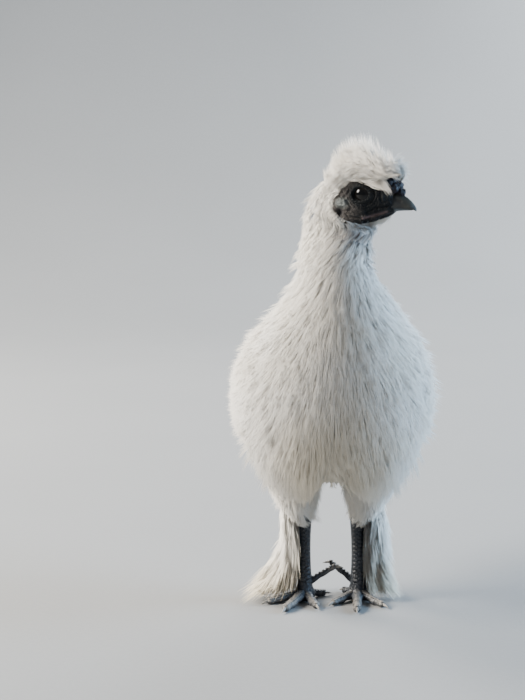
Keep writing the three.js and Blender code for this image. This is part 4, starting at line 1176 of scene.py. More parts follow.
# The studio, in metres: the floor reaches forward, bends up behind the bird and carries on as a wall
FLOOR = {"ahead": 3.0, "behind": 2.2, "bend": 0.9, "wall": 3.5, "half": 4.0}
WORLD = ((0.80, 0.87, 1.0, 1), 0.29)
LAMPS = (
    ("key", (-1.8, -0.3, 1.2), 0.8, 112, (1, 0.95, 0.87)),
    ("fill", (1.85, -0.1, 0.8), 1.1, 80, (0.46, 0.70, 1)),
    ("rim", (-1.1, 1.0, 1.1), 0.7, 50, (1, 0.95, 0.88)),
    ("back", (0.9, 1.7, 1.0), 1.2, 42, (0.86, 0.93, 1)),
)
LIT_HEIGHT = 0.17  # of the place that the lamps point at

# The photograph's frame: its size, where the bird's middle stands in it, that place's height and the scale
PICTURE = (525, 700)
MIDDLE_PIXEL = (334, 370)
MIDDLE_HEIGHT = 168
MM_PER_PIXEL = 0.70
SENSOR = 36


def aim(thing, way):
    """Turns a lamp or camera to look that way."""
    thing.rotation_euler = way.to_track_quat("-Z", "Y").to_euler()


class SILKIE_OT_stage(bpy.types.Operator):
    """Adds the pale floor and backdrop, the studio lights and the camera"""

    bl_idname = "silkie.stage"
    bl_label = "Stage"

    def execute(self, context):
        self.backdrop()
        world = bpy.data.worlds.new("Studio")
        context.scene.world = world
        world.use_nodes = True
        colour_socket, strength = world.node_tree.nodes["Background"].inputs[:2]
        colour_socket.default_value, strength.default_value = WORLD
        target = Vector((0, 0, LIT_HEIGHT))
        for name, place, size, power, tint in LAMPS:
            light = bpy.data.lights.new(name, "AREA")
            light.size, light.energy, light.color = size, power, tint
            lamp = bpy.data.objects.new(name, light)
            lamp.location = place
            aim(lamp, target - Vector(place))
            context.scene.collection.objects.link(lamp)
        self.camera(context, look_of(context))
        return {"FINISHED"}

    def backdrop(self):
        bend, start = FLOOR["bend"], FLOOR["behind"] - FLOOR["bend"]
        profile = [(-FLOOR["ahead"], 0.0), (start, 0.0)]
        for a in np.linspace(0, np.pi / 2, 14)[1:]:
            profile.append((start + bend * math.sin(a), bend - bend * math.cos(a)))
        profile.append((FLOOR["behind"], FLOOR["wall"]))
        points = np.array([(x, y, z) for x in (-FLOOR["half"], FLOOR["half"]) for y, z in profile])
        n = len(profile)
        i = np.arange(n - 1)
        quads = np.stack([i, n + i, n + i + 1, i + 1], -1)
        backdrop = mesh_object("backdrop", points / MM - SHIFT, [quads])
        backdrop.data.materials.append(new_material("Backdrop", backdrop_tint, Roughness=0.9))

    def camera(self, context, look):
        """The photograph's view: the bird's middle stands at its own pixel of the frame."""
        focal = look.camera_distance / MM / MM_PER_PIXEL
        a, e = look.camera_azimuth, look.camera_elevation
        back = Vector((math.sin(a) * math.cos(e), -math.cos(a) * math.cos(e), math.sin(e)))
        right = Vector((math.cos(a), math.sin(a), 0))
        up = back.cross(right)
        target = Vector(((np.array([0, 0, MIDDLE_HEIGHT]) + SHIFT * [0, 1, 0]) * MM).tolist())
        aside, below = (place - size / 2 for place, size in zip(MIDDLE_PIXEL, PICTURE))
        lens = bpy.data.cameras.new("camera")
        camera = bpy.data.objects.new("camera", lens)
        camera.location = target + back * look.camera_distance
        aim(camera, -back - right * (aside / focal) + up * (below / focal))
        lens.sensor_fit = "VERTICAL"
        lens.sensor_height = SENSOR
        lens.lens = focal / PICTURE[1] * SENSOR
        lens.clip_start = 0.01
        context.scene.collection.objects.link(camera)
        context.scene.camera = camera


class SILKIE_OT_skin(bpy.types.Operator):
    """Adds one skin from the root of the bill to the rump and thighs, with the bare face and its lids"""

    bl_idname = "silkie.skin"
    bl_label = "Skin"

    def execute(self, context):
        points, faces = self.form()
        skin = mesh_object("skin", points, faces)
        self.marked(skin, *to_head(points).T)
        nodes = ["head", "neck", "torso"]
        nodes += [f"{part}_{name}" for part in ("wattle", "ear_lobe", "thigh") for name in SIDES]
        finished(skin, "Skin", nodes)
        return {"FINISHED"}

    def form(self):
        """The crinkled skin, the cores of thighs and tail, and the lids, as points and faces."""
        points, faces = loft(ringed_skin(SKIN_ACROSS))
        faces = turned_out(points, faces)
        plain = mesh_object("plain_skin", points, faces)
        normals = np.empty(len(points) * 3, np.float32)
        plain.data.vertices.foreach_get("normal", normals)
        bpy.data.objects.remove(plain)
        forms = [(wrinkled(points, normals.reshape(-1, 3)), faces)]
        forms += [core(thigh_point(side), np.linspace(0, 4.9, 26), 10) for side in SIDES.values()]
        forms.append(core(tail_point, np.linspace(0, 0.8, 20), 8.5))
        points, faces = joined(forms)
        for side in SIDES.values():
            lid_points, lid_faces = lid_form(side)
            faces += [group + len(points) for group in lid_faces]
            points = np.concatenate([points, lid_points])
        return points, faces

    def marked(self, skin, f, l, z):
        """Marks the parts of the skin that have a colour of their own, and the ear's hollow and the mouth
        line where shade is painted, from places in the head's frame.
        """
        bare = clamped(face_inside(f, z) / 1.6 + 1.2) * (f > -24) * (z > -24)
        lobe = np.hypot((f + 13.2) / 5.2, (z + 6) / 3.9)
        # Painted shade in the ear's hollow and along the mouth line.
        ear_pit_shade = bell(np.hypot(f - EAR_PIT[0], (z - EAR_PIT[1]) / 1.3) / 2.4)
        mouth_crease_shade = bell(path_distance(f, z, MOUTH) / 0.9)
        above_mouth = path_distance(f, z, [(16, -11.6), (9, -13.6), (1, -16)])
        throat = bell((f + 4) / 13, (z + 29) / 10) * (f > -20) * (z > -50)
        paint(skin, "bare", bare)
        paint(skin, "lobe", clamped(1.6 - 1.3 * lobe))
        paint(skin, "painted_crease_shade", clamped(ear_pit_shade + 0.8 * mouth_crease_shade) * (np.abs(l) > 3))
        paint(skin, "cheek", clamped((3 - f) / 9) * clamped((np.hypot(f, z) - 7) / 4))
        paint(skin, "blush", 0.8 * bell(above_mouth / 0.8))
        paint(skin, "throat", throat)


class SILKIE_OT_eyes(bpy.types.Operator):
    """Adds the two eyeballs"""

    bl_idname = "silkie.eyes"
    bl_label = "Eyes"

    def execute(self, context):
        for name, side in SIDES.items():
            points, faces = ball((0, side * EYE_SIDE, 0), (EYE_RADIUS,) * 3, 64, 48)
            eye = mesh_object(f"eyeball_{name}", points, turned_out(points, faces))
            outward = to_head(points) - [0, side * EYE_SIDE, 0]
            angle = np.arccos(np.clip(unit(outward)[:, 1] * side, -1, 1))
            paint(eye, "gaze", angle / (np.pi / 2))
            finished(eye, "Eye", [f"eye_{name}"])
        return {"FINISHED"}


class SILKIE_OT_bill(bpy.types.Operator):
    """Adds the two halves of the bill"""

    bl_idname = "silkie.bill"
    bl_label = "Bill"

    def execute(self, context):
        for name, shape, last, flat in (("upper", UPPER_BILL, 5, 1), ("lower", LOWER_BILL, 3, -1)):
            points, faces = bill_form(shape, last, flat)
            f, l, z = to_head(points).T
            if name == "upper":
                inward = np.sign(l) * (np.abs(l) > 1.5)
                slit = bell(segment_distance(f, z, (21.6, -3.8), (24.8, -4.6)) / 0.75)
                flap = bell(segment_distance(f, z, (21, -2.4), (25, -3.4)) / 0.9)
                l = l - inward * (0.9 * slit - 0.4 * flap)
                points = in_head(f, l, z)
            bill = mesh_object(f"horn_{name}", points, turned_out(points, faces))
            pale = clamped((f - 25) / 7) * 0.8 + 0.5 * clamped((z + 5) / 5) * (name == "upper")
            paint(bill, "tip", clamped(pale))
            # Painted shade in the slit of the nose, for the material to darken.
            hole = segment_distance(f, z, (21.9, -3.9), (24.6, -4.6))
            paint(bill, "nostril_shade", bell(hole / 0.65) * (name == "upper"))
            finished(bill, "Horn of the bill", [f"bill_{name}"])
        return {"FINISHED"}


class SILKIE_OT_comb(bpy.types.Operator):
    """Adds the walnut comb: a cushion of bulbs with small warts"""

    bl_idname = "silkie.comb"
    bl_label = "Comb"

    def execute(self, context):
        rng = random_of("comb")
        forms = []
        for f, l, z, r in COMB_BULBS:
            forms.append(ball((f, l, z), (r * 0.94, r * 0.94, r * 0.86)))
            for _ in range(WARTS):
                way = unit(rng.normal(0, 1, 3) + [0.3, 0, 0.6])
                at = np.array([f, l, z]) + way * r * 0.82
                forms.append(ball(at, (rng.uniform(0.7, 1.2),) * 3, 10, 7))
        points, faces = joined(forms)
        comb = remeshed(mesh_object("walnut_comb", points, faces), COMB_VOXEL)
        finished(comb, "Comb", ["comb"])
        return {"FINISHED"}


class SILKIE_OT_legs(bpy.types.Operator):
    """Adds the shanks and feet with their toes"""

    bl_idname = "silkie.legs"
    bl_label = "Legs"

    def execute(self, context):
        for name, side in SIDES.items():
            forms = [shank_form(side), ball_form(side)] + [toe_form(side, toe) for toe in TOES]
            points, faces = joined(forms)
            leg = remeshed(mesh_object(f"leg_{name}", points, faces), LEG_VOXEL)
            flat = vertices_of(leg)
            flat[:, 2] = np.maximum(flat[:, 2], 0.02)
            leg.data.vertices.foreach_set("co", ((flat + SHIFT) * MM).astype(np.float32).ravel())
            leg.data.update()
            self.dusted(leg, side)
            finished(leg, "Leg scales", [f"shank_{name}", f"foot_{name}"])
        return {"FINISHED"}

    def dusted(self, leg, side):
        """Marks where the toes are dusty, most of all towards the ends of the middle toes."""
        points = vertices_of(leg)
        away = np.hypot(points[:, 0] - side * LEG_SPREAD, points[:, 1] - LEG_BACK)
        paint(leg, "dust", clamped((away - 12) / 22) * np.clip((points[:, 2] - 1) / 3, 0.2, 1) * 0.8)


class SILKIE_OT_claws(bpy.types.Operator):
    """Adds the ten claws"""

    bl_idname = "silkie.claws"
    bl_label = "Claws"

    def execute(self, context):
        for name, side in SIDES.items():
            for toe in TOES:
                points, faces = claw_form(side, toe)
                claw = mesh_object(f"horn_{toe}_{name}", points, turned_out(points, faces))
                finished(claw, "Claw horn", [f"claw_{toe}_{name}"])
        return {"FINISHED"}


# The coat's stretches on the body: name, along, side of the body, length if the same all over, spread, and
# shares of the strand's width and of the feathers' spacing
BODY_COATS = [
    ("hackle", (0.4, 6.6), "all", 0, 0.12, 0.85, 0.78),
    ("breast", (6.6, 9.5), "front", 0, 0.16, 1, 1),
    ("belly", (9.5, 12.2), "front", 0, 0.16, 1, 1),
    ("mantle", (6.6, 9.5), "back", 0, 0.18, 1.2, 1.1),
    ("saddle", (9.5, 12.2), "back", 0, 0.18, 1.2, 1.15),
    ("rump", (12.2, 15.7), "all", 28, 0.2, 1.35, 1.35),
]
ROUND_THE_BODY = {
    "all": {"": (-180, 180)},
    "front": {"_left": (90, 180), "_right": (-180, -90)},
    "back": {"_left": (0, 90), "_right": (-90, 0)},
}


def skin_depth(along):
    return BODY["coat"](along) * SKIN_DEPTH + 0.4


def body_drift(along, around):
    """Which way the coat turns aside: out from the middle of the breast, and a swirl low on it."""
    outwards = np.interp(along, [5, 7.5, 9.5, 11, 13], [0, -0.12, -0.06, 0.02, 0.1])
    from_front = np.abs(np.abs(around) - np.pi)
    swirl = 0.2 * bell(from_front / 0.35, (along - 9.9) / 1.1)
    return outwards * np.sin(around) - swirl


def under_wing(spots):
    """Which roots on the body lie under the wing's feathers."""
    t = (spots[:, 0] - WING["from"]) / (WING["to"] - WING["from"]) * (len(WING_EDGES) - 1)
    turn = np.degrees(np.abs(spots[:, 1]))
    inside = (turn > WING_EDGE["top"](t) + 3) & (turn < WING_EDGE["bottom"](t) - 4)
    return inside & (t > 1.8) & (t < 5.6)


def eased(value, low, high):
    """0 below low, 1 above high and smooth between."""
    t = clamped((value - low) / (high - low))
    return t * t * (3 - 2 * t)


def hung(grown):
    """Lets the tips of the lower breast hang down in front of the thighs."""
    line = grown["line"].copy()
    x, y, z = line[:, -1].T
    most = 15 * eased(np.abs(x), 9, 22) * eased(-z, -125, -96) * eased(-y, -26, 0)
    most -= 5.5 * eased(-np.abs(x), -13, -6) * eased(-z, -112, -98)
    line[..., 2] -= most[:, None] * STATIONS**2
    return {**grown, "line": line}


class SILKIE_OT_body_coat(bpy.types.Operator):
    """Adds the hackle and the silky coat of breast, back and rump"""

    bl_idname = "silkie.body_coat"
    bl_label = "Body Coat"

    def execute(self, context):
        look = look_of(context)
        made = 0
        for name, along, sides, length, spread, width, sparse in BODY_COATS:
            for side, around in ROUND_THE_BODY[sides].items():
                rng = random_of("body", made)
                made += 1
                spans = (along, np.radians(around))
                spots = scattered(body_point, spans, look.spacing * sparse, rng, 8.0)
                sleek = name == "hackle"
                if sleek:
                    spots = spots[self.throat_kept(spots, rng)]
                shape = {
                    "length": length or np.interp(spots[:, 0], [0, 3, 6, 8, 10], [8, 10, 14, 22, 27]),
                    "lean": 0.04 if sleek else 0.07,
                    "stand": 1.5 if sleek else 3.0,
                    "wild": 0.08 if sleek else 0.15,
                    "wisp": 4.5 if sleek else 6.5,
                }
                top = np.where(under_wing(spots), 4.2, 1.2)
                grown = plumes(
                    body_point, spots, rng, count=look.strands, spread=spread, root=skin_depth, tip=top,
                    half=look.half * width, drift=body_drift, **shape,
                )
                most = 0.2 + 2.4 * rng.uniform(0, 1, len(grown["own"])) ** 2
                grown = hung(kept(grown, off_face(grown, most)))
                coat_piece(f"coat_{name}{side}", grown, unwrapped(spots, spans))
        return {"FINISHED"}

    def throat_kept(self, spots, rng):
        """Thins the hackle on the throat, where the skin shows through."""
        f, _, z = to_head(body_point(spots[:, 0], spots[:, 1], 8.0 + 0 * spots[:, 0])).T
        bare = bell((f + 4) / 12, (z + 27) / 9) * (f > -16)
        return rng.uniform(0, 1, len(spots)) > 0.7 * bare


CREST = table(
    "f top bottom half",
    [
        (26, 16.5, 9, 4),
        (23, 20, 5.5, 8.5),
        (16, 23.5, 0.8, 12.5),
        (8, 29, 3.5, 16),
        (-2, 34, 6.5, 18),
        (-12, 33, 1, 18.5),
        (-20, 26.5, -6, 17.5),
        (-27, 15, -9, 12),
        (-31, 6, -6, 5),
    ],
)


def crest_point(along, around, depth):
    """The crest's coat: along runs from over the bill to the nape, around from its top."""
    along = np.clip(along, 0, 8.3)
    top, bottom = CREST["top"](along), CREST["bottom"](along)
    wide = np.maximum(0.5, CREST["half"](along) - depth * 0.5)
    low = np.where(np.cos(around) > 0, depth, depth * 0.3)
    rise = np.maximum(0.5, (top - bottom) / 2 - low)
    return in_head(CREST["f"](along), wide * np.sin(around), (top + bottom) / 2 + rise * np.cos(around))


def crest_root(along):
    """How deep the crest's feathers stand, less over the bill."""
    return np.interp(along, [0, 1, 2, 3.5], [3, 7, 12, 15])


# The loose feathers over the comb, in the head's frame: the share of them on the bird's right, the least and
# most of their roots' places and of how far their tips reach, and how much further those of the left do
FORELOCK = {"feathers": 170, "right": 0.6, "forward": (4, 14), "up": (7, 15), "aside": (4.6, 8.5)}
FORELOCK_TIPS = {"ahead": (7, 12), "rise": (-5, 8)}
FORELOCK_LEFT = {"forward": 3.5, "rise": 5}


class SILKIE_OT_crest(bpy.types.Operator):
    """Adds the puff of the crest"""

    bl_idname = "silkie.crest"
    bl_label = "Crest"

    def execute(self, context):
        look = look_of(context)
        rng = random_of("crest")
        spans = ((0.3, 7.4), (-2.25, 2.25))
        spots = scattered(crest_point, spans, CREST_SPACING, rng, 8.0)
        grown = plumes(
            crest_point, spots, rng, count=look.strands, length=8.0, spread=0.34, root=crest_root,
            tip=1.6, half=look.half * 0.85, stand=2.5, rise=1.3, wild=0.3, wisp=7.5,
        )
        most = 0.3 + 3.2 * rng.uniform(0, 1, len(grown["own"])) ** 1.7
        grown = kept(grown, off_face(grown, most) & off_comb(grown, rng))
        fore, fore_places = self.forelock(rng, look)
        grown, places = bunched((grown, unwrapped(spots, spans)), (fore, fore_places))
        coat_piece("coat_crest", grown, places, ["crest"])
        return {"FINISHED"}

    def forelock(self, rng, look):
        """Loose feathers that fall forward on both sides of the comb, further on the bird's left."""
        number, count = FORELOCK["feathers"], look.strands
        side = np.where(rng.uniform(0, 1, number) < FORELOCK["right"], -1, 1)
        own = np.repeat(np.arange(number), count)
        n = len(own)
        left = side > 0
        forward = rng.uniform(*FORELOCK["forward"], number) + FORELOCK_LEFT["forward"] * left
        f = forward[own] + rng.normal(0, 0.5, n)
        z = (rng.uniform(*FORELOCK["up"], number)[own] - 0.12 * (f - 4)) + rng.normal(0, 1.0, n)
        l = (side * rng.uniform(*FORELOCK["aside"], number))[own] + rng.normal(0, 0.5, n)
        ahead = rng.uniform(*FORELOCK_TIPS["ahead"], number)[own] * rng.uniform(0.8, 1.1, n)
        risen = rng.uniform(*FORELOCK_TIPS["rise"], number) + FORELOCK_LEFT["rise"] * left
        rise = risen[own] + rng.normal(0, 1.2, n)
        t = STATIONS
        line = in_head(
            f[:, None] + ahead[:, None] * t,
            l[:, None] * (1 + 0.2 * np.sin(np.pi * t)),
            z[:, None] + rise[:, None] * t + 2.5 * np.sin(np.pi * t) - 2.0 * t**2,
        )
        aside = np.where(l < 0, -0.8, 0.1)
        out = unit(in_head(0.2 + 0 * l, aside, 0.7 + 0 * l) - in_head(0 * l, 0 * l, 0 * l))
        up = np.repeat(out[:, None], len(t), 1)
        grown = strands(line, up, look.half * rng.uniform(0.6, 1.0, len(own)), own, rng)
        clear = off_comb(grown, rng)
        return kept(grown, clear), np.stack([0.5 + side * 0.3, 0.02 + 0.04 * rng.uniform(0, 1, number)], -1)


def off_comb(grown, rng):
    """Which strands keep out of the comb and, on the bird's right, leave it in sight."""
    places = to_head(grown["line"])
    clear = np.ones(len(places), bool)
    for f, l, z, r in COMB_BULBS:
        clear &= (np.linalg.norm(places - [f, l, z], axis=-1) > r * 1.02).all(1)
    f, l, z = np.moveaxis(places, -1, 0)
    along_comb = segment_distance(f + 0.36 * l, z + 0.15 * l, (16.8, 7.6), (25, -2.5))
    wide = rng.uniform(2.4, 4.2, len(places))[:, None]
    return clear & ~((along_comb < wide) & (l < 3.5)).any(1)


class SILKIE_OT_head_coat(bpy.types.Operator):
    """Adds the short down of the head, from the edge of the bare face back"""

    bl_idname = "silkie.head_coat"
    bl_label = "Head Coat"

    def execute(self, context):
        look = look_of(context)
        rng = random_of("head")
        spans = ((0.6, HEAD_END), (-np.pi, np.pi))
        spots = scattered(head_point, spans, HEAD_SPACING, rng, 0.0)
        f, l, z = to_head(head_point(spots[:, 0], spots[:, 1], 0 * spots[:, 0])).T
        edge = face_inside(f, z)
        spotted = bell((f + 4) / 9, (z + 28) / 7)
        thinned = rng.uniform(0, 1, len(spots)) > 0.6 * spotted
        under_comb = (f > 11) & (np.abs(l) < 6) & (z > 0)
        stray = (edge < 3) & (rng.uniform(0, 1, len(spots)) < 0.25) & (z < -12) & (f < -3)
        chosen = ((edge < -0.2) | stray | (np.abs(l) < 2)) & thinned & ~under_comb
        spots, edge = spots[chosen], edge[chosen]
        grown = plumes(
            head_point, spots, rng, count=7, length=np.where(edge > -0.2, 2.6, 6.5), spread=0.3,
            root=0.5, tip=-2.6, half=look.half * 0.62, lean=0.12, rise=1.5,
        )
        roots = to_head(grown["line"][:, 0])
        below = (roots[:, 2] < -12) & (roots[:, 0] < -1)
        most = 0.7 + 3 * below * rng.uniform(0, 1, len(below)) ** 2
        grown = kept(grown, off_face(grown, most) & off_comb(grown, rng))
        coat_piece("coat_head", grown, unwrapped(spots, spans))
        return {"FINISHED"}


class SILKIE_OT_thigh_coat(bpy.types.Operator):
    """Adds the fluff of the thighs"""

    bl_idname = "silkie.thigh_coat"
    bl_label = "Thigh Coat"

    def execute(self, context):
        look = look_of(context)
        for name, side in SIDES.items():
            rng = random_of("thighs", side)
            spans = ((0.2, 4.6), (0, 2 * np.pi))
            spots = scattered(thigh_point(side), spans, look.spacing * 0.9, rng, 8.0)
            grown = plumes(
                thigh_point(side), spots, rng, count=look.strands,
                length=np.interp(spots[:, 0], [0, 3, 4.6], [22, 17, 9]), spread=0.18, root=9.5, tip=0.8,
                half=look.half, stand=2.0, wild=0.06, wisp=4.0,
            )
            coat_piece(f"coat_thigh_{name}", grown, unwrapped(spots, spans))
        return {"FINISHED"}


# Vanes: silky feathers with a shaft and loose barbs, for wings and tail

SHAFT_HALF = 0.55
BARB_HALVES = (0.16, 0.28)
WING_VANE = (6.4, 62)  # half width of the vane, and barbs on each side
TAIL_VANE = (7.2, 90)


def vane(line, up, half, barbs, rng):
    """One feather's shaft and barbs. Line and up are given at evenly spaced places along the shaft."""
    places = np.linspace(0, 1, len(line))

    def along_line(values, t):
        return np.stack([np.interp(t, places, values[:, i]) for i in range(3)], -1)

    t = STATIONS
    middle, above = along_line(line, t)[None], along_line(up, t)[None]
    shaft = strands(middle, above, np.array([SHAFT_HALF]), np.zeros(1, int), rng)
    start = np.tile(np.linspace(0.1, 0.99, barbs), 2) + rng.uniform(-0.01, 0.01, 2 * barbs)
    side = np.repeat([1, -1], barbs)[:, None]
    here = along_line(line, start)
    forward = unit(along_line(line, start + 0.05) - along_line(line, start - 0.05))
    out = unit(along_line(up, start))
    across = unit(np.cross(forward, out)) * side
    wide = half * np.interp(start, [0, 0.12, 0.4, 0.8, 1], [0.35, 0.75, 1, 0.9, 0.55])
    reach = wide * rng.uniform(0.85, 1.25, 2 * barbs)
    s = t[None, :, None]
    bend = across[:, None] * s + forward[:, None] * (0.55 * s + 0.55 * s**2)
    stray = rng.normal(0, 0.06, (2 * barbs, 1, 3)) * s**2
    lines = here[:, None] + reach[:, None, None] * (bend + stray - 0.12 * out[:, None] * s**2)
    ups = np.repeat(out[:, None], len(t), 1)
    thick = rng.uniform(*BARB_HALVES, 2 * barbs)
    grown = strands(lines, ups, thick, np.zeros(2 * barbs, int), rng)
    return {key: np.concatenate([shaft[key], grown[key]]) for key in grown}


WING = {"from": 7.7, "to": 14.3}
WING_EDGES = [(78, 86), (62, 104), (56, 112), (56, 112), (60, 108), (68, 102), (78, 96)]
WING_EDGE = table("top bottom", WING_EDGES)

# The flight feathers' tiers: count, along from and to, how much further each next one reaches, around
# from top to bottom, and depth at the root, along the feather and at its tip
WING_TIERS = [
    (9, 0.60, 0.99, -0.02, (0.30, 0.94), (7, 3.4, 1.4)),
    (9, 0.42, 0.80, 0.008, (0.10, 0.88), (7, 1.4, -0.4)),
    (7, 0.26, 0.56, 0.0, (0.08, 0.94), (7, 0.6, -1.0)),
]


def wing_point(side):
    """The wing's coat: along from the shoulder to its tip, around from its top edge to its lower one."""

    def at(along, around, depth):
        u = WING["from"] + (WING["to"] - WING["from"]) * along
        t = along * (len(WING_EDGES) - 1)
        top, bottom = WING_EDGE["top"](t), WING_EDGE["bottom"](t)
        return body_point(u, side * np.radians(top + (bottom - top) * around), depth)

    return at


class SILKIE_OT_wings(bpy.types.Operator):
    """Adds the folded wings: coverts, secondaries and primaries with loose barbs"""

    bl_idname = "silkie.wings"
    bl_label = "Wings"

    def execute(self, context):
        look = look_of(context)
        t = np.linspace(0, 1, 24)
        for name, side in SIDES.items():
            rng = random_of("wings", side)
            coat = wing_point(side)
            spans = ((0.0, 0.62), (0.0, 1.0))
            spots = scattered(coat, spans, look.spacing * 1.2, rng, 5.0)
            covert = plumes(
                coat, spots, rng, count=look.strands, length=17, spread=0.2, root=10, tip=-0.3,
                half=look.half * 1.1, stand=3.0,
            )
            groups = [(covert, unwrapped(spots, spans))]
            for count, start, end, slip, (top, bottom), (root, middle, tip) in WING_TIERS:
                for i in range(count):
                    around = top + (bottom - top) * (i + 0.5) / count
                    along = start + (end + slip * i - start) * t
                    depth = np.interp(t, [0, 0.25, 0.7, 1], [root, middle + 1.5, middle, tip])
                    depth = depth + 0.25 * (i % 3)
                    line = coat(along, around + 0.03 * t**2, depth)
                    above, below = (coat(along, around + 0 * t, depth + step) for step in (-1, 1))
                    up = unit(above - below)
                    groups.append((vane(line, up, *WING_VANE, rng), np.array([[around, start]]) * 0.98))
            grown, places = bunched(*groups)
            coat_piece(f"coat_wing_{name}", grown, places, [f"wing_{name}"])
        return {"FINISHED"}


TAIL_ROOT = np.array([0, 112.0, 160])
TAIL_RISE = math.radians(38)
TAIL_REACH = 50
TAIL_PAIRS = 6
TAIL_FAN = math.radians(8.5)  # between neighbouring feathers
TAIL_ALONG = np.array([0, math.cos(TAIL_RISE), math.sin(TAIL_RISE)])
TAIL_UP = np.array([0, -math.sin(TAIL_RISE), math.cos(TAIL_RISE)])


def tail_point(along, around, depth):
    """The tail's coat: along from its root to its tips, around from its upper middle."""
    t = clamped(along)
    wide = np.maximum(0.5, 12 + 30 * np.sin(t * np.pi * 0.62) - depth * 0.7)
    thick = np.maximum(0.5, 17 * (1 - t) ** 0.6 + 3 - depth)
    high = thick * np.cos(around) - 5 * np.sin(around) ** 2 * t
    place = TAIL_ROOT + stack(wide * np.sin(around), 0, 0)
    return place + TAIL_ALONG * (TAIL_REACH * along)[..., None] + TAIL_UP * high[..., None]


class SILKIE_OT_tail(bpy.types.Operator):
    """Adds the short soft tail: a fan of loose feathers with fluff over and under it"""

    bl_idname = "silkie.tail"
    bl_label = "Tail"

    def execute(self, context):
        look = look_of(context)
        rng = random_of("tail")
        spans = ((0.0, 0.95), (-np.pi, np.pi))
        spots = scattered(tail_point, spans, look.spacing * 1.05, rng, 3.0)
        fluff = plumes(
            tail_point, spots, rng, count=look.strands,
            length=np.interp(spots[:, 0], [0, 0.95], [22, 10]), spread=0.25, root=8,
            tip=np.interp(spots[:, 0], [0.6, 0.95], [0.8, 2.2]), half=look.half * 1.15, stand=4.0,
        )
        groups = [(fluff, unwrapped(spots, spans))]
        t = np.linspace(0, 1, 24)
        for side in SIDES.values():
            for i in range(TAIL_PAIRS):
                fan = side * (i + 0.5) * TAIL_FAN
                way = TAIL_ALONG * math.cos(fan) + np.array([math.sin(fan), 0, 0])
                lower = -0.5 - 1.1 * i - (0 if side > 0 else 0.55)
                length = TAIL_REACH * (1.03 - 0.005 * i * i)
                line = TAIL_ROOT + way * (length * t)[:, None] + TAIL_UP * (lower - 3.5 * t * t)[:, None]
                up = np.repeat(TAIL_UP[None], len(t), 0)
                groups.append((vane(line, up, *TAIL_VANE, rng), np.array([[0.5 + 0.08 * side * i, 0.5]])))
        grown, places = bunched(*groups)
        coat_piece("coat_tail", grown, places, ["tail"])
        return {"FINISHED"}


BOOT_FEATHERS = 310
BOOT_STRANDS = 13
BOOT_HALVES = (1.2, 1.9)  # the least and the most, as shares of a body strand's

# The feathers down the outer side of each leg: height of the root, reach outwards and height of the tip,
# with the bird's right ones spread wider over the toes
BOOT_ROOTS = (76, 64, 54, 44, 35, 26, 16)
BOOT_TIPS = {
    1: ((20, 52), (23, 42), (25, 32), (26, 22), (28, 12), (30, 5), (32, 1.6)),
    -1: ((17, 54), (18, 43), (20, 32), (27, 21), (36, 12), (44, 5), (48, 1.6)),
}


class SILKIE_OT_boots(bpy.types.Operator):
    """Adds the feathers that hang down the outer side of the shanks and over the outer toes"""

    bl_idname = "silkie.boots"
    bl_label = "Boots"

    def execute(self, context):
        look = look_of(context)
        for name, side in SIDES.items():
            rng = random_of("boots", side)
            grown, places = self.feathers(side, rng, look)
            coat_piece(f"coat_boot_{name}", grown, places, finish="Foot feathers")
        return {"FINISHED"}

    def feathers(self, side, rng, look):
        number = BOOT_FEATHERS
        last = len(BOOT_ROOTS) - 1
        row = last * ((np.arange(number) + rng.uniform(0, 1, number)) / number) ** 1.2
        own = np.repeat(np.arange(number), BOOT_STRANDS)
        rows = [(high, *tip) for high, tip in zip(BOOT_ROOTS, BOOT_TIPS[side])]
        shape = table("high out low", rows)
        n = len(own)
        high = shape["high"](row)[own] + rng.normal(0, 0.6, n)
        share = (rng.uniform(0.0, 1.0, number) ** 0.8)[own] + rng.normal(0, 0.07, n)
        out = 5 + (shape["out"](row)[own] - 5) * share
        low = np.maximum(0.6, shape["low"](row)[own] * rng.uniform(0.75, 1.25, n))
        ahead = (rng.normal(4, 7, number))[own] + rng.normal(0, 1.6, n)
        lean = 7 * (high - 11) / 47
        outer = LEG_SPREAD + 3.2 + np.clip((high - 54) * 0.45, 0, 8) + rng.normal(0, 0.4, n)
        root = stack(side * outer, LEG_BACK + lean + rng.normal(1, 1.4, n), high)
        tip = stack(side * (LEG_SPREAD + out), LEG_BACK + 4 - ahead, low)
        bend = 0.5 * (root + tip) + stack(side * (1.5 + 0.12 * out), 0, 0.14 * (high - low) + 1.5)
        t = STATIONS[None, :, None]
        line = root[:, None] * (1 - t) ** 2 + bend[:, None] * 2 * t * (1 - t) + tip[:, None] * t**2
        line[..., 2] = np.maximum(line[..., 2], 0.5)
        away = unit(stack(side * 0.8 + 0 * out, -0.25 - 0.02 * ahead, 0.5))
        up = np.repeat(away[:, None], len(STATIONS), 1)
        grown = strands(line, up, look.half * rng.uniform(*BOOT_HALVES, n), own, rng)
        places = np.stack([np.mod(np.arange(number) * 0.618, 1), row / last], -1) * 0.98 + 0.01
        return grown, places


# Scutes


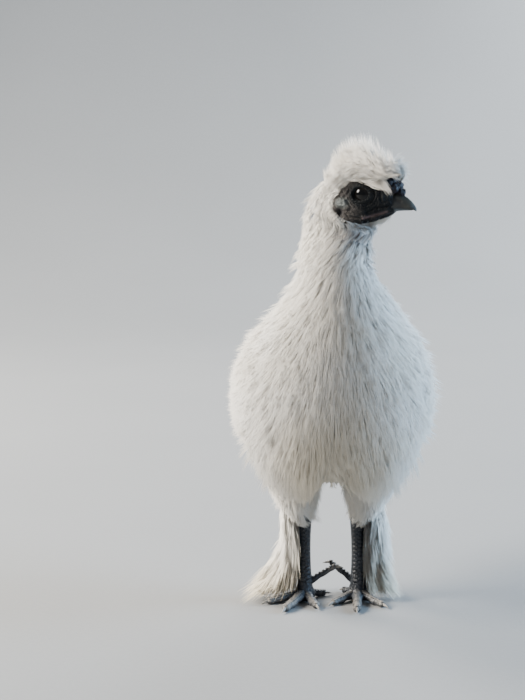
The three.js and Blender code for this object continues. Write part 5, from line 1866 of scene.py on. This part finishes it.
def scute_tree():
    """Geometry nodes that set a flat rounded plate on every point, turned and sized by the point."""
    tree = bpy.data.node_groups.new("Scutes", "GeometryNodeTree")
    plate_inputs = {"Plate_Sides": ("Int", 8), "Plate_Size": ("Float", 1.0)}
    sockets(tree, "INPUT", Geometry=("Geometry",), **plate_inputs, Finish=("Material",))
    sockets(tree, "OUTPUT", Geometry=("Geometry",))
    source = add(tree, "NodeGroupInput", (-800, 0)).outputs
    result = add(tree, "NodeGroupOutput", (900, 0)).inputs
    points = add(tree, "GeometryNodeMeshToPoints", (-500, 100))
    plate = add(tree, "GeometryNodeMeshUVSphere", (-500, -100))
    plate.inputs["Rings"].default_value = 5
    rotation = add(tree, "FunctionNodeEulerToRotation", (-250, -300))
    placed = add(tree, "GeometryNodeInstanceOnPoints", (0, 0))
    readers = {"turn": rotation.inputs["Euler"], "span": placed.inputs["Scale"]}
    for row, (name, into) in enumerate(readers.items()):
        read = add(tree, "GeometryNodeInputNamedAttribute", (-500, -300 - 200 * row))
        read.data_type = "FLOAT_VECTOR"
        read.inputs["Name"].default_value = name
        wire(tree, (read.outputs["Attribute"], into))
    real = add(tree, "GeometryNodeRealizeInstances", (250, 0))
    smooth = add(tree, "GeometryNodeSetShadeSmooth", (450, 0))
    finish = add(tree, "GeometryNodeSetMaterial", (650, 0))
    wire(
        tree,
        (source["Geometry"], points.inputs["Mesh"]),
        (source["Plate Sides"], plate.inputs["Segments"]),
        (source["Plate Size"], plate.inputs["Radius"]),
        (source["Finish"], finish.inputs["Material"]),
        (points.outputs["Points"], placed.inputs["Points"]),
        (plate.outputs["Mesh"], placed.inputs["Instance"]),
        (rotation.outputs["Rotation"], placed.inputs["Rotation"]),
        (placed.outputs["Instances"], real.inputs["Geometry"]),
        (real.outputs["Geometry"], smooth.inputs["Geometry"]),
        (smooth.outputs["Geometry"], finish.inputs["Geometry"]),
        (finish.outputs["Geometry"], result["Geometry"]),
    )
    return tree


# The shank's scutes: lowest and highest, how far apart, and each column's angle from the front and rise
SCUTE_HEIGHTS = (13, 57, 2.9)
SCUTE_COLUMNS = ((0.43, 1.4), (-0.43, 0.0))
SCUTES_EVERY = 2.5  # along a toe


def scutes_of(side):
    """Places, outward and lengthwise directions and half sizes of one leg's scutes, and their dust."""
    found = []
    for z in np.arange(*SCUTE_HEIGHTS):
        t, waist = shank_middle(z)
        for column, higher in SCUTE_COLUMNS:
            v = np.pi + column
            x = side * (LEG_SPREAD + SHANK["wide"] * waist * 0.93 * math.sin(v))
            y = LEG_BACK + SHANK["lean"] * t + SHANK["deep"] * waist * 0.93 * math.cos(v)
            out = np.array([side * math.sin(v), math.cos(v), 0.12])
            found.append(((x, y, z + higher), out, (0, 0, 1), (2.2 * waist, 1.75, 0.62), 0.05))
    for toe in TOES:
        count = int(TOES[toe].reach / SCUTES_EVERY)
        for t in np.linspace(0.16, 0.96, count):
            line, half, along = toe_line(side, toe, np.array([t]))
            size = half[0] * (1 + 0.1 * math.cos(2 * math.pi * 3 * t))
            dust = 0.95 * t if toe in ("middle", "inner", "outer") else 0.35 * t
            middle = line[0] + np.array([0, 0, 0.86 * half[0]])
            found.append((middle, (0, 0, 1), along, (0.82 * size, 1.55, 0.6), dust))
    return found


class SILKIE_OT_scutes(bpy.types.Operator):
    """Adds the overlapping scutes of shanks and toes"""

    bl_idname = "silkie.scutes"
    bl_label = "Scutes"

    def execute(self, context):
        tree = scute_tree()
        for name, side in SIDES.items():
            found = scutes_of(side)
            mesh = bpy.data.meshes.new(f"scutes_{name}")
            mesh.from_pydata([tuple((np.array(place) + SHIFT) * MM) for place, *_ in found], [], [])
            tilts, spans, dust = [], [], []
            for _, out, along, size, dusty in found:
                z = Vector(out).normalized()
                x = Vector(along).cross(z).normalized()
                y = z.cross(x)
                tilts += Matrix((x, y, z)).transposed().to_euler()
                spans += [value * MM for value in size]
                dust.append(dusty)
            for label, values in (("turn", tilts), ("span", spans)):
                mesh.attributes.new(label, "FLOAT_VECTOR", "POINT").data.foreach_set("vector", values)
            mesh.attributes.new("dust", "FLOAT", "POINT").data.foreach_set("value", dust)
            piece = bpy.data.objects.new(f"scutes_{name}", mesh)
            context.scene.collection.objects.link(piece)
            modifier = piece.modifiers.new("Scutes", "NODES")
            modifier.node_group = tree
            for item in tree.interface.items_tree:
                if item.in_out == "INPUT" and item.name == "Finish":
                    modifier[item.identifier] = material_of("Leg scales", look_of(context))
            finished(shape_applied(piece), "Leg scales")
        return {"FINISHED"}


PIECES = (
    SILKIE_OT_stage,
    SILKIE_OT_skin,
    SILKIE_OT_eyes,
    SILKIE_OT_bill,
    SILKIE_OT_comb,
    SILKIE_OT_legs,
    SILKIE_OT_scutes,
    SILKIE_OT_claws,
    SILKIE_OT_head_coat,
    SILKIE_OT_body_coat,
    SILKIE_OT_crest,
    SILKIE_OT_thigh_coat,
    SILKIE_OT_wings,
    SILKIE_OT_tail,
    SILKIE_OT_boots,
)


class SILKIE_PT_panel(bpy.types.Panel):
    """Lists the pieces of the bird"""

    bl_label = "Silkie Chicken"
    bl_idname = "SILKIE_PT_panel"
    bl_space_type = "VIEW_3D"
    bl_region_type = "UI"
    bl_category = "Silkie"

    def draw(self, context):
        look = look_of(context)
        for name in SilkieLook.__annotations__:
            self.layout.prop(look, name)
        for piece in PIECES:
            self.layout.operator(piece.bl_idname)


def register():
    for made in (SilkieLook, *PIECES, SILKIE_PT_panel):
        bpy.utils.register_class(made)
    bpy.types.Scene.silkie = bpy.props.PointerProperty(type=SilkieLook)


def unregister():
    del bpy.types.Scene.silkie
    for made in reversed((SilkieLook, *PIECES, SILKIE_PT_panel)):
        bpy.utils.unregister_class(made)


def main():
    register()
    for piece in PIECES:
        group, name = piece.bl_idname.split(".")
        getattr(getattr(bpy.ops, group), name)()


if __name__ == "__main__":
    main()
